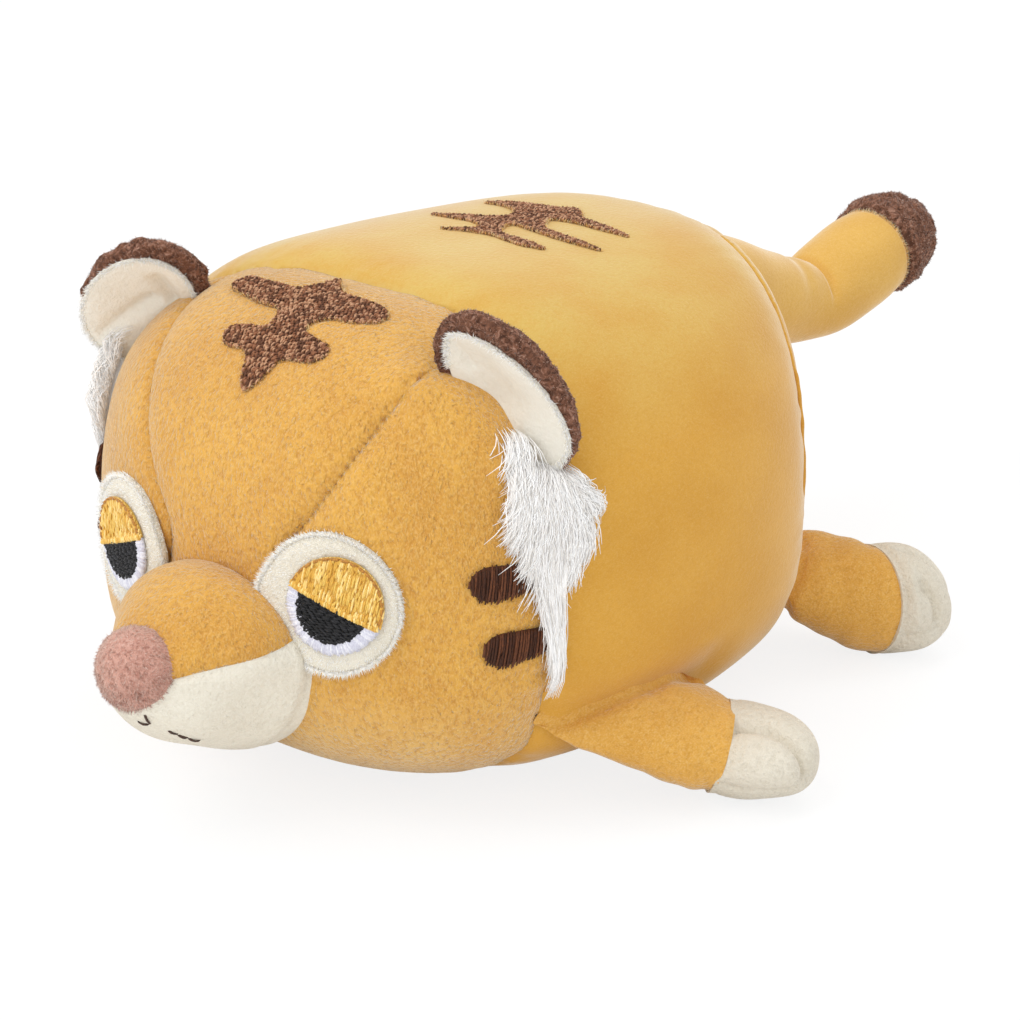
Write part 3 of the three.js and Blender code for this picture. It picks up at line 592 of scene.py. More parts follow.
brow_mark_shares = [
    (-0.02, 1), (0.05, 0.91), (0.2, 0.83), (0.45, 0.83), (0.72, 0.82), (0.83, 0.74), (0.8, 0.66),
    (0.6, 0.59), (0.35, 0.56), (0.22, 0.49), (0.22, 0.42), (0.39, 0.39), (0.6, 0.37), (0.63, 0.3),
    (0.52, 0.23), (0.3, 0.21), (0.19, 0.19), (0.15, 0.11), (0.07, 0.04), (-0.02, 0), (-0.11, 0.06),
    (-0.15, 0.15), (-0.22, 0.2), (-0.48, 0.2), (-0.58, 0.27), (-0.55, 0.33), (-0.4, 0.36),
    (-0.17, 0.37), (-0.17, 0.48), (-0.24, 0.54), (-0.49, 0.55), (-0.78, 0.61), (-0.97, 0.66),
    (-1.01, 0.74), (-0.92, 0.81), (-0.63, 0.78), (-0.25, 0.76), (-0.12, 0.87),
]
back_mark_shares = [
    (0.78, 0.13), (0.52, 0.07), (0.33, 0.09), (0.1, 0.12), (-0.13, 0.09), (-0.42, 0), (-0.25, 0.1),
    (-0.16, 0.18), (-0.2, 0.24), (-0.38, 0.29), (-0.62, 0.27), (-0.93, 0.28), (-0.66, 0.36),
    (-0.42, 0.43), (-0.27, 0.53), (-0.3, 0.63), (-0.52, 0.73), (-0.93, 0.76), (-0.6, 0.86),
    (-0.28, 0.9), (-0.12, 0.93), (-0.05, 1), (0.12, 0.93), (0.25, 0.82), (0.6, 0.8), (0.97, 0.76),
    (0.6, 0.71), (0.3, 0.72), (0.06, 0.68), (0.14, 0.57), (0.27, 0.47), (0.48, 0.44), (0.8, 0.43),
    (1.08, 0.41), (0.66, 0.35), (0.25, 0.38), (-0.03, 0.42), (-0.05, 0.35), (0.04, 0.25),
    (0.16, 0.18), (0.5, 0.17),
]


def softened(outline):
    """A closed outline with its corners cut off."""
    after = np.roll(outline, -1, axis=0)
    pair = np.stack([outline * 0.8 + after * 0.2, outline * 0.2 + after * 0.8], 1)
    return pair.reshape(-1, 2)


def spaced(outline, step):
    """The same closed outline with a point at about every step."""
    ends = np.concatenate([outline, outline[:1]])
    run = np.concatenate([[0], np.cumsum(np.linalg.norm(np.diff(ends, axis=0), axis=1))])
    at = np.linspace(0, run[-1], max(int(run[-1] / step), 8), endpoint=False)
    return np.stack([np.interp(at, run, ends[:, 0]), np.interp(at, run, ends[:, 1])], 1)


def inside_by(points, outline):
    """How far flat points lie inside a closed outline; below zero outside."""
    after = np.roll(outline, -1, axis=0)
    line = after - outline
    way = points[:, None] - outline
    part = np.clip((way * line).sum(2) / np.maximum((line ** 2).sum(1), 1e-12), 0, 1)
    near = np.linalg.norm(way - part[..., None] * line, axis=2).min(1)
    level = points[:, 1:]
    crosses = (outline[:, 1] > level) != (after[:, 1] > level)
    with np.errstate(divide="ignore", invalid="ignore"):
        where = outline[:, 0] + (level - outline[:, 1]) * line[:, 0] / line[:, 1]
    odd = (crosses & (points[:, :1] < where)).sum(1) % 2 == 1
    return np.where(odd, near, -near)


def fill(outline, step):
    """Even triangles inside a flat outline, and how far inside it each point lies."""
    edge = spaced(outline, step)
    low, high = edge.min(0), edge.max(0)
    level = np.arange(low[1], high[1], step * triangle_rise)
    across, up = np.meshgrid(np.arange(low[0], high[0], step), level)
    across[1::2] += step / 2
    inner = np.stack([across.ravel(), up.ravel()], 1)
    inner = inner[inside_by(inner, edge) > step / 2]
    loop = [(i, (i + 1) % len(edge)) for i in range(len(edge))]
    found = delaunay_2d_cdt([Vector(p) for p in np.concatenate([edge, inner])], loop, [], 1, 1e-5)
    points = np.array([tuple(p) for p in found[0]])
    return points, np.array(found[2]), np.maximum(inside_by(points, edge), 0)


def on_top(flat):
    outside = np.column_stack([flat, np.full(len(flat), 120)])
    return onto_loaf(outside, outside * [1, 1, 0] + [0, 0, 45])


def on_face(flat):
    outside = np.column_stack([flat[:, 0], np.full(len(flat), -90), flat[:, 1]])
    return onto_loaf(outside, outside * [1, 0, 1])


def on_left_side(flat):
    outside = np.column_stack([np.full(len(flat), 90), flat])
    return onto_loaf(outside, outside * [0, 1, 1])


def on_right_side(flat):
    return on_left_side(flat) * [-1, 1, 1]


def low_mound(outline, step, onto, base, height, shoulder):
    """A closed low mound on the loaf: round at its edge, flat underneath."""
    flat, triangles, inside = fill(outline, step)
    ground = onto(flat)
    out = loaf_normal(ground)
    share = np.clip(inside / shoulder, 0, 1)
    top = ground + out * (base + height * np.sqrt(1 - (1 - share) ** 2))[:, None]
    under = ground + out * base
    if onto is on_right_side:
        triangles = triangles[:, ::-1]
    on_edge = inside < 1e-3
    triangles = triangles[~on_edge[triangles].all(1)]
    below = np.where(on_edge, np.arange(len(flat)), np.arange(len(flat)) + len(flat))
    points = np.concatenate([top, under])
    faces = np.concatenate([triangles, below[triangles][:, ::-1]])
    used, faces = np.unique(faces, return_inverse=True)
    return points[used], faces.reshape(-1, 3)


def stitch_rows(outline, slant, spacing, longest, draw, ragged=0.15):
    """Flat ends of stitches in rows across an outline, split where a row is longer than one."""
    turn = np.array([[np.cos(slant), -np.sin(slant)], [np.sin(slant), np.cos(slant)]])
    turned = outline @ turn
    low, high = turned.min(0), turned.max(0)
    along = np.arange(low[0] - 0.1, high[0] + 0.2, 0.1)
    ends = []
    for level in np.arange(low[1] + spacing / 2, high[1], spacing):
        row = np.column_stack([along, np.full(len(along), level)])
        marks = np.flatnonzero(np.diff(inside_by(row, turned) > 0))
        for first, last in marks.reshape(-1, 2):
            stops = [along[first] - draw.uniform(0, ragged)]
            stop = stops[0] + longest * draw.uniform(0.3, 1)
            while stop < along[last] - longest * 0.3:
                stops.append(stop)
                stop += longest * draw.uniform(0.8, 1.15)
            stops.append(along[last] + draw.uniform(0, ragged))
            sway = draw.normal(0, spacing * 0.2, len(stops)) + level
            points = np.column_stack([stops, sway])
            ends += list(zip(points, points[1:]))
    return np.array(ends) @ turn.T


def thread_points(ends, onto, base, lift, draw, stations=5, outward=None):
    """Middle lines of stitches: each dips into the cloth at its ends and stands up between."""
    part = np.linspace(0, 1, stations)[:, None]
    flat = ends[:, None, 0] * (1 - part) + ends[:, None, 1] * part
    ground = onto(flat.reshape(-1, 2))
    out = (outward or loaf_normal)(ground)
    arch = np.sin(np.pi * part[:, 0]) ** 0.5 * lift * draw.uniform(0.7, 1.2, (len(ends), 1))
    middle = ground + out * (base + arch).reshape(-1, 1)
    return middle.reshape(len(ends), stations, 3), out.reshape(len(ends), stations, 3)


def threads(middle, out, radius, sides=5):
    """A round closed thread along each middle line, narrower at its ends."""
    count, stations = middle.shape[:2]
    along = np.gradient(middle, axis=1)
    across = unit(np.cross(along, out))
    width = radius * np.where(np.arange(stations) % (stations - 1) == 0, 0.55, 1)[:, None]
    rings = []
    for turn in np.arange(sides) * 2 * np.pi / sides:
        rings.append(middle + width * (np.cos(turn) * across + np.sin(turn) * out))
    points = np.stack(rings, 2).reshape(-1, 3)
    place = np.arange(count * stations * sides).reshape(count, stations, sides)
    after = np.roll(place, -1, axis=2)
    walls = np.stack([place[:, :-1], place[:, 1:], after[:, 1:], after[:, :-1]], -1)
    starts = place[:, 0]
    ends = place[:, -1, ::-1]
    faces = list(walls.reshape(-1, 4)) + list(starts) + list(ends)
    owner = np.concatenate([
        np.repeat(np.arange(count), (stations - 1) * sides), np.arange(count), np.arange(count),
    ])
    return points, faces, owner


def joined(*parts):
    """Several meshes as one: their points, and their faces with shifted numbers."""
    points = np.concatenate([part[0] for part in parts])
    faces = []
    shift = 0
    for part in parts:
        faces += [np.asarray(face) + shift for face in part[1]]
        shift += len(part[0])
    return points, faces


def vary(piece, finishes, owner, first, draw):
    """Gives each thread or hair of a piece one of several shades of its finish."""
    for finish in finishes:
        piece.data.materials.append(finish)
    choice = draw.integers(0, len(finishes), owner.max() + 1) + 1
    shades = np.concatenate([np.zeros(first, int), choice[owner]])
    piece.data.polygons.foreach_set("material_index", shades.astype(np.int32))


def worked_piece(name, pad, rows, finish, shades, slot, draw):
    """A pad with threads or hairs on it as one piece, each thread in one of several shades."""
    points, faces = joined(pad, *[row[:2] for row in rows])
    piece = make_piece(name, points, faces, finish, slot, "torso", [name])
    owner = rows[0][2]
    for row in rows[1:]:
        owner = np.concatenate([owner, row[2] + owner.max() + 1])
    vary(piece, shades, owner, len(pad[1]), draw)


def thread_finish(name, tone, shade, gloss):
    """Embroidery thread: fine twisted strands with a soft gloss along them."""
    finish, tree, shader = new_finish(name, {
        "Roughness": 0.75 - 0.4 * gloss,
        "Specular IOR Level": 0.25 + 0.35 * gloss,
        "Sheen Weight": 0.12 * gloss,
    })
    strands = grain(tree, 0.25, 2, (1, 1, 0.5))
    colour = mixed(tree, strands, 0.35, 0.65, shade, tone)
    feed(tree, shader, {"Base Color": colour, "Normal": raised(tree, [(strands, 0.06)])})
    return finish


def pile_hairs(roots, out, lean, length, width, draw, spread=0.35):
    """Short hairs as slim closed spikes on three sides that stand up and lean with the nap."""
    count = len(roots)
    way = unit(out + lean + draw.normal(0, spread, (count, 3)))
    side = unit(np.cross(way, draw.normal(size=(count, 3))))
    other = np.cross(way, side)
    tips = roots + way * (length * draw.uniform(0.6, 1.15, count))[:, None]
    feet = []
    for turn in np.arange(3) * 2 * np.pi / 3:
        feet.append(roots + width / 2 * (np.cos(turn) * side + np.sin(turn) * other))
    points = np.stack([*feet, tips], 1).reshape(-1, 3)
    first = np.arange(count)[:, None] * 4
    spike = np.array([[0, 1, 3], [1, 2, 3], [2, 0, 3], [0, 2, 1]])
    faces = (first[:, None] + spike).reshape(-1, 3)
    return points, faces, np.repeat(np.arange(count), 4)


def pile_piece(name, hairs, finishes, slot, body, draw):
    """A pile of hairs as a piece of its own, each hair in one of several shades."""
    pile = make_piece(name, *hairs[:2], finishes[1], slot, body)
    vary(pile, finishes, hairs[2], 0, draw)


def hair_finishes(name, tones, glow=0):
    """Plain finishes for the hairs of one pile, from the deepest to the palest.

    A little glow stands for the light that white hairs pass on to one another.
    """
    finishes = []
    for number, tone in enumerate(tones):
        finish, _, _ = new_finish(f"{name}_{number}", {
            "Base Color": tone,
            "Roughness": 0.7,
            "Specular IOR Level": 0.25,
            "Sheen Weight": 0.4,
            "Sheen Roughness": 0.4,
            "Emission Color": tone,
            "Emission Strength": glow,
        })
        finishes.append(finish)
    return finishes


def edge_hairs(outline, onto, base, length, width, per_mm, outward, draw):
    """A fringe of pile hairs round a flat outline, leaning outward or, below zero, inward."""
    edge = spaced(outline, 1 / per_mm)
    after = np.roll(edge, -1, axis=0) - np.roll(edge, 1, axis=0)
    away = unit(np.stack([after[:, 1], -after[:, 0]], 1))
    if inside_by(edge[:1] + away[:1] * 0.05, edge)[0] > 0:
        away = -away
    roots = onto(edge)
    out = loaf_normal(roots)
    lean = (onto(edge + away * 0.5) - roots) * 2 * outward
    roots = roots + out * base + draw.normal(0, 0.12, roots.shape)
    return pile_hairs(roots, out, lean, length, width, draw)


def thread_shades(name, **shades):
    """Finishes for the single threads of a field, each with its tone, shade and gloss."""
    return [thread_finish(f"{name}_{part}", *look) for part, look in shades.items()]


brown_thread = thread_finish("brown_thread", "#8a5b45", "#5f3a29", 0.35)
brown_shades = thread_shades(
    "brown_thread",
    deep=("#74492f", "#4c2c1b", 0.2),
    mid=("#a36c4a", "#784a2e", 0.3),
    pale=("#d3a37f", "#a0714f", 0.4),
)
coat_hairs = hair_finishes("coat_hair", ["#dba24e", "#ecbd6e", "#f8dfa8"])


def stitched_mark(name, shares, start, length, slant, seed):
    """One brown mark: a low pad of crossing underlay, and rows of short stitches over it."""
    draw = np.random.default_rng(seed)
    outline = softened(np.array(shares) * [mark_reach, length] + [0, start])
    pad = low_mound(outline, 0.7, on_top, base=-0.7, height=0.75, shoulder=0.6)
    ends = stitch_rows(outline, slant, mark_spacing, mark_stitch, draw)
    lines = thread_points(ends, on_top, base=-0.1, lift=0.42, draw=draw)
    rows = threads(*lines, mark_thread_radius)
    worked_piece(name, pad, [rows], brown_thread, brown_shades, "brown_thread", draw)
    hairs = edge_hairs(
        outline, on_top, base=-0.3, length=1, width=0.16, per_mm=9, outward=0.15, draw=draw
    )
    pile_piece(f"{name}_pile_rim", hairs, coat_hairs, "coat_plush", "torso", draw)


stitched_mark("forehead_mark", brow_mark_shares, brow_mark_start, brow_mark_length, 1.2, 21)
stitched_mark("back_mark", back_mark_shares, back_mark_start, back_mark_length, 1.3, 22)


# Stripes on the cheeks
# Two bars of dark satin stitch on each side, upright threads laid close together. They run back
# under the fur tuft and their ends are a little ragged.

stripe_radius = 3.3
stripe_fall = 2.2
stripe_places = {"upper": (-47.56, 49.73, -39.1), "lower": (-46.09, 37.3, -39.1)}
stripe_slant = 1.45
stripe_spacing = 0.4
stripe_stitch = 9
stripe_thread_radius = 0.24

dark_thread = thread_finish("dark_thread", "#5c2f12", "#3b1b08", 0.25)
dark_shades = thread_shades(
    "dark_thread", deep=("#4f280f", "#301506", 0.2), pale=("#6f3d1c", "#4a240d", 0.3)
)

for stripe_name, (front, level, back) in stripe_places.items():
    bend = np.linspace(np.pi / 2, 3 * np.pi / 2, 13)
    nose_end = np.stack([np.cos(bend), np.sin(bend)], 1) * stripe_radius + [front, level]
    tail_end = [(back, level - stripe_radius + stripe_fall), (back, level + stripe_radius)]
    stripe_outline = np.concatenate([nose_end, tail_end])
    for side, onto in (("left", on_left_side), ("right", on_right_side)):
        draw = np.random.default_rng(31)
        pad = low_mound(stripe_outline, 0.7, onto, base=-0.4, height=0.8, shoulder=1)
        ends = stitch_rows(
            stripe_outline, stripe_slant, stripe_spacing, stripe_stitch, draw, ragged=0.45
        )
        lines = thread_points(ends, onto, base=0.1, lift=0.6, draw=draw, stations=8)
        rows = threads(*lines, stripe_thread_radius)
        name = f"cheek_stripe_{stripe_name}_{side}"
        worked_piece(name, pad, [rows], dark_thread, dark_shades, "dark_thread", draw)


# Eyes
# A cream plush patch is sewn to each cheek. On it a white eye, a black pupil and a drooping gold
# lid are worked in satin stitch, so the toy looks half asleep.

eye_slant = radians(-23)
eye_shapes = {
    "left": {
        "middle": (25.4, 45.4), "lid": (8.3, 9.4), "patch_middle": (24, 45.2),
        "patch": (12.6, 13.2), "corner": 1.7,
    },
    "right": {
        "middle": (25, 44.9), "lid": (7.6, 8), "patch_middle": (25, 44.6),
        "patch": (11.2, 12.4), "corner": 1,
    },
}
white_depth = 9
pupil_size = np.array([6, 6.8])
patch_height = 1.1
patch_shoulder = 2.4
patch_hairs_per_area = 12
satin_spacing = 0.31
satin_radius = 0.22
satin_lift = 0.36


def turned(across, up, slant):
    """Flat places across and up, turned by a slant."""
    return np.stack([
        across * np.cos(slant) - up * np.sin(slant),
        across * np.sin(slant) + up * np.cos(slant),
    ], 1)


def oval(middle, half_across, half_up, slant=0, start=0, stop=2 * np.pi, count=72):
    """Places on an oval, or on the part of it between two turns, with both its ends."""
    is_part = stop - start < 2 * np.pi - 0.1
    turn = np.linspace(start, stop, count, endpoint=is_part)
    return middle + turned(half_across * np.cos(turn), half_up * np.sin(turn), slant)


def patch_outline(eye):
    """An oval whose inner end is drawn out to a soft corner towards the snout."""
    outline = oval(eye["patch_middle"], *eye["patch"])
    offset = outline - eye["patch_middle"]
    turn = np.arctan2(offset[:, 1], offset[:, 0])
    near = np.exp(-((np.abs(turn) - np.pi) / 0.4) ** 2)
    return outline - np.column_stack([near * eye["corner"], np.zeros(len(near))])


cream_tones = ("#ece6d6", "#dcd3c1", "#fffdf6")
cream_plush = plush("cream_plush", cream_tones, grain_size=1, relief=0.5, contrast=0.5)
cream_hairs = hair_finishes("cream_hair", ["#fbf6ea", "#fffcf4", "#ffffff"], glow=0.1)
gold_thread = thread_finish("gold_thread", "#e8bd54", "#d09d3a", 0.9)
gold_shades = thread_shades(
    "gold_thread",
    deep=("#ecb949", "#cf9a34", 0.8),
    mid=("#f0cb66", "#deae46", 0.9),
    pale=("#ffe79f", "#f4ca66", 1),
)
# The thread that rolls along the upper edge of each lid is a darker amber: painted shade along that
# edge.
lid_edge_shade_thread = thread_finish("lid_edge_shade_thread", "#c98a2e", "#95611a", 0.7)
black_thread = thread_finish("black_thread", "#121215", "#070709", 0.35)
black_shades = [black_thread, thread_finish("black_thread_pale", "#1d1d22", "#0c0c0f", 0.45)]
white_thread = thread_finish("white_thread", "#f4f4fa", "#dddde9", 0.8)
white_shades = [white_thread, thread_finish("white_thread_deep", "#e2e2ee", "#cacada", 0.7)]


def field_rows(outline, base, slant, longest, draw, ragged):
    """Threads laid side by side across an outline on the face."""
    ends = stitch_rows(outline, slant, satin_spacing, longest, draw, ragged)
    lines = thread_points(ends, on_face, base, satin_lift, draw, stations=6)
    return threads(*lines, satin_radius)


def satin(name, outline, slant, base, longest, finish, shades, slot, seed, ragged, rolls=()):
    """A stitched field on an eye: a pad, threads laid over it, and any rolls on its edges."""
    draw = np.random.default_rng(seed)
    pad = low_mound(outline, 0.7, on_face, base - 0.35, height=0.5, shoulder=0.8)
    rows = field_rows(outline, base, slant, longest, draw, ragged)
    worked_piece(name, pad, [rows, *rolls], finish, shades, slot, draw)


def ring_stitches(middle, inner, outer, slant, start, stop, count, draw):
    """Flat ends of short threads that fan out between two ovals."""
    near = oval(middle, *inner, slant, start, stop, count)
    far = oval(middle, *outer, slant, start, stop, count)
    step = (far - near) * 0.05
    jitter = draw.uniform(-1, 2, (2, count, 1))
    return np.stack([near - step * jitter[0], far + step * jitter[1]], 1)


def scattered(outline, hole, per_area, draw):
    """Random flat places inside one outline and outside another."""
    low, high = outline.min(0), outline.max(0)
    flat = draw.uniform(low, high, (int((high - low).prod() * per_area), 2))
    return flat[(inside_by(flat, outline) > 0) & (inside_by(flat, hole) < -0.1)]


for side, sign in (("left", 1), ("right", -1)):
    mirror = np.array([sign, 1])
    draw = np.random.default_rng(41)
    slant = eye_slant * sign
    eye = eye_shapes[side]
    middle = eye["middle"] * mirror
    patch_middle = eye["patch_middle"] * mirror
    lid_size = np.array(eye["lid"])
    outline = patch_outline(eye)[::sign] * mirror
    points, faces = low_mound(outline, 0.8, on_face, -0.2, patch_height + 0.2, patch_shoulder)
    name = f"eye_patch_{side}"
    patch = make_piece(name, points, faces, cream_plush, "cream_plush", "torso", [name])

    flat = scattered(outline, oval(middle, *lid_size, slant), patch_hairs_per_area, draw)
    share = np.clip(inside_by(flat, outline) / patch_shoulder, 0, 1)
    roots = on_face(flat)
    out = loaf_normal(roots)
    away = unit(flat - patch_middle)
    lean = (on_face(flat + away * 0.5) - roots) * 2 * (0.9 - 0.6 * share)[:, None]
    roots = roots + out * (patch_height * np.sqrt(1 - (1 - share) ** 2) - 0.3)[:, None]
    hairs = pile_hairs(roots, out, lean, length=0.9, width=0.22, draw=draw, spread=0.4)
    inner_edge = patch_middle * 0.05 + outline * 0.95
    fringe = edge_hairs(
        inner_edge, on_face, base=0.8, length=1.5, width=0.18, per_mm=20, outward=1, draw=draw
    )
    owner = np.concatenate([hairs[2], fringe[2] + hairs[2].max() + 1])
    pile = *joined(hairs[:2], fringe[:2]), owner
    pile_piece(f"{name}_pile", pile, cream_hairs, "cream_plush", "torso", draw)

    upright = slant + np.pi / 2
    lid = oval(middle, *lid_size, slant, 0, np.pi, 40)
    end = lid_size[0] - 0.1
    band = np.array([(-end, -0.35), (end, -0.35), (end - 0.1, 0.75), (0.1 - end, 0.75)])
    band = middle + turned(*band.T, slant)
    lower_roll = field_rows(band, 2, upright + 0.25, longest=3, draw=draw, ragged=0.05)
    # The roll along the upper edge of the lid, in darker amber thread: painted shade.
    arc = oval(middle, *(lid_size - 0.25), slant, 0.08, np.pi - 0.08, 16)
    arc_ends = np.stack([arc[:-1], arc[1:]], 1)
    arc_lines = thread_points(arc_ends, on_face, base=1.95, lift=0.2, draw=draw)
    upper_roll = threads(*arc_lines, radius=0.3)
    satin(
        f"eyelid_{side}", lid, upright + 0.2 * sign, base=1.75, longest=3.2,
        finish=gold_thread, shades=gold_shades, slot="gold_thread", seed=42, ragged=0.1,
        rolls=[lower_roll],
    )
    make_piece(f"eyelid_edge_{side}", *upper_roll[:2], lid_edge_shade_thread, "gold_thread", "torso")
    lower_half = slant, np.pi, 2 * np.pi, 40
    pupil = oval(middle, *pupil_size, *lower_half)
    satin(
        f"pupil_{side}", pupil, slant + 0.1, base=1.9, longest=1.5, finish=black_thread,
        shades=black_shades, slot="black_thread", seed=43, ragged=0.6,
    )
    white_size = (lid_size[0], white_depth)
    ring = np.concatenate([oval(middle, *white_size, *lower_half), pupil[::-1]])
    pad = low_mound(ring, 0.6, on_face, base=1.35, height=0.45, shoulder=0.8)
    span = slant, np.pi + 0.02, 2 * np.pi - 0.02, 84
    fan = ring_stitches(middle, pupil_size - 0.7, white_size, *span, draw)
    lines = thread_points(fan, on_face, base=1.7, lift=satin_lift, draw=draw)
    rows = threads(*lines, satin_radius + 0.03)
    name = f"eye_white_{side}"
    worked_piece(name, pad, [rows], white_thread, white_shades, "white_thread", draw)


# Snout
# A stuffed muzzle of cream plush under a bridge of face plush, sewn to the front of the face.
# The seam between the two slants down to the nose.

snout_length = 31.5
snout_start = -60.8
snout_level = 27.63
snout_tip_rise = 4.5
snout_half_width = 20
snout_half_height = 19
snout_taper = 0.47
snout_end_power = 2.7
snout_seam_level = 38
snout_seam_slope = 0.19
snout_seam_middle = -67.55
snout_flare_share = 0.2
snout_chin_share = 0.1
snout_flare_length = 0.6
snout_brow_share = 0.25
snout_brow_place = 0.45
snout_brow_reach = 0.3
snout_jaw_share = 0.12
snout_jaw_place = 0.8
snout_jaw_reach = 0.25


def ring_grid(stations, around):
    """Squares of a tube of rings, closed round but open at its ends."""
    place = np.arange(stations * around).reshape(stations, around)
    after = np.roll(place, -1, axis=1)
    return np.stack([place[:-1], after[:-1], after[1:], place[1:]], -1).reshape(-1, 4)


def snout_girth(share):
    """How wide and high the snout is at a share of its length, against its root."""
    return (1 - snout_taper * share) * rounded_end(share, snout_end_power)


snout_share = np.sin(np.linspace(0, np.pi / 2, 56))[:, None]
snout_turn = np.linspace(0, 2 * np.pi, 120, endpoint=False)
snout_size = snout_girth(snout_share)
root_part = np.clip(1 - snout_share / snout_flare_length, 0, 1) ** 2
snout_flare = 1 + root_part * (
    snout_flare_share * np.exp(-((np.sin(snout_turn) - 0.15) / 0.45) ** 2)
    - snout_chin_share * rise(-np.sin(snout_turn), 0.2, 0.9)
)
on_brow = valley(snout_share - snout_brow_place, snout_brow_share, snout_brow_reach)
on_jaw = valley(snout_share - snout_jaw_place, snout_jaw_share, snout_jaw_reach)
snout_flare = snout_flare + on_brow * rise(np.sin(snout_turn), -0.1, 0.5)
snout_flare = snout_flare + on_jaw * rise(-np.sin(snout_turn), 0, 0.6)
snout_points = np.stack([
    snout_half_width * snout_size * snout_flare * np.cos(snout_turn),
    snout_start - snout_length * snout_share + 0 * snout_turn,
    snout_level + snout_tip_rise * snout_share
    + snout_half_height * snout_size * snout_flare * np.sin(snout_turn),
], 2).reshape(-1, 3)
snout_triangles = split_squares(ring_grid(len(snout_share), len(snout_turn)))
snout_out = point_normals(snout_points, snout_triangles)
snout_out[-len(snout_turn):] = (0, -1, 0)
above_seam = snout_points[:, 2] - snout_seam_level
above_seam -= snout_seam_slope * (snout_points[:, 1] - snout_seam_middle)
from_face = loaf_gap(snout_points)
snout_depth = seam_dent(above_seam, 0.5, 0.7, 0.35, 3)
snout_depth += valley(np.maximum(from_face, 0), 0.9, 1.6) + 0.2 * unevenness(snout_points, 18, 8)
snout_table = np.column_stack([
    snout_points - snout_out * snout_depth[:, None], from_face + 1.6, above_seam,
])
outside_face, outside_triangles = cut(snout_table, snout_triangles, snout_table[:, 3])

for name, sign, finish, slot in (
    ("snout_bridge", 1, face_plush, "face_plush"),
    ("muzzle", -1, cream_plush, "cream_plush"),
):
    points, triangles = cut(outside_face, outside_triangles, sign * outside_face[:, 4])
    half = make_piece(name, points[:, :3], triangles, finish, slot, "torso", [name])
    thicken(half, cover_thickness)


# Nose
# A small stuffed ball of dusty pink plush, sewn on the end of the snout.

nose_middle = np.array([0, -87.4, 34.13])
nose_halves = np.array([8.4, 7.6, 8.3])
nose_squares = 28
nose_hairs = 7000
nose_nap = np.array([0, 0.5, -0.9])

pink_tones = ("#cd9b8b", "#a97466", "#e9c6b9")
pink_plush = plush("pink_plush", pink_tones, grain_size=0.8, relief=0.6, contrast=0.9)
pink_hairs = hair_finishes("pink_hair", ["#b5826f", "#cf9d8c", "#e6c2b3"])
nose_ways, nose_quads = ball_grid(nose_squares)
nose_points = nose_middle + nose_ways * (nose_halves - 0.5)
nose_points += nose_ways * (0.14 * unevenness(nose_points, 2.6, 14) - 0.1)[:, None]
nose = make_piece("nose", nose_points, nose_quads, pink_plush, "pink_plush", "torso", ["nose"])
draw = np.random.default_rng(51)
nose_out = unit(draw.normal(size=(nose_hairs, 3)))
nose_roots = nose_middle + nose_out * (nose_halves - 0.8)
hairs = pile_hairs(nose_roots, nose_out, nose_nap, length=0.95, width=0.24, draw=draw)
pile_piece("nose_pile", hairs, pink_hairs, "pink_plush", "torso", draw)


# Mouth
# A few dark stitches drawn through the pile below the nose: one down the middle, a short one to
# the side, and a doubled running stitch that goes back along the chin.

mouth_strokes = [
    [(4.3, -90.6), (4.1, -89)],
    [(1.9, -90), (4, -89.1)],
    [(6.1, -86.9), (6.9, -85.1)],
    [(6.8, -85.3), (7.4, -83)],
    [(7.3, -83.2), (7.8, -80.6)],
]
mouth_thread_radius = 0.16
mouth_thread_gap = 0.24


def under_snout(flat):
    """The points on the lower half of the snout at these places in the top view."""
    share = np.clip((snout_start - flat[:, 1]) / snout_length, 0, 0.999)
    on_jaw = valley(share - snout_jaw_place, snout_jaw_share, snout_jaw_reach)
    size = snout_girth(share) * (1 + on_jaw)
    up = np.sqrt(np.clip(1 - (flat[:, 0] / (snout_half_width * size)) ** 2, 0.01, None))
    level = snout_level + snout_tip_rise * share - snout_half_height * size * up
    return np.column_stack([flat, level])


def under_snout_normal(points, step=0.05):
    flat = points[:, :2]
    across = under_snout(flat + [step, 0]) - under_snout(flat - [step, 0])
    along = under_snout(flat + [0, step]) - under_snout(flat - [0, step])
    return unit(np.cross(along, across))


mouth_finish = thread_finish("mouth_thread", "#5d463b", "#35251e", 0.2)
draw = np.random.default_rng(61)
mouth_ends = np.array(mouth_strokes)
mouth_ends = np.concatenate([mouth_ends, mouth_ends + [mouth_thread_gap, 0.15]])
mouth_lines = thread_points(
    mouth_ends, under_snout, base=-0.25, lift=0.5, draw=draw, stations=7,
    outward=under_snout_normal,
)
mouth_points, mouth_faces, _ = threads(*mouth_lines, mouth_thread_radius)
make_piece("mouth_stitches", mouth_points, mouth_faces, mouth_finish, "dark_thread", "torso")


# Ears
# Each ear is a round leaf of curly brown plush with a cream lining let into its front. It is sewn
# to the top corner of the head and folds about that seam. The right one is pushed forward.

ear_half_width = 15.8
ear_half_height = 12.5
ear_middle = 8
ear_lean = 6 / 20.5
ear_back_depth = 5.4
ear_front_depth = 2
ear_hollow = 3
ear_sink = {"left": 4, "right": 0}
ear_squares = 44
ear_hairs = 6500
lining_rim_hairs = 1500
ear_frames = {
    "left": (
        (41.01, -38.44, 75.34), (0.7281, 0.3214, -0.6055), (0.6683, -0.1362, 0.7313),
        (0.1526, -0.9371, -0.3139), 1,
    ),
    "right": (
        (39.01, -36.24, 75.34), (0.7738, -0.0626, -0.6303), (0.4278, -0.6822, 0.5929),
        (-0.4672, -0.7284, -0.5011), -1,
    ),
}
ear_folds = {
    "left": [((-15.5, 9.2), (-10.4, 5.2), 1.3, 1.1), ((-2, 3), (3, 12), 0.7, 3.5)],
    "right": [((-9.9, 10.3), (-7.4, 5), 2, 1.7), ((9, 9.6), (-3.9, 7.6), 1.7, 1.6)],
}
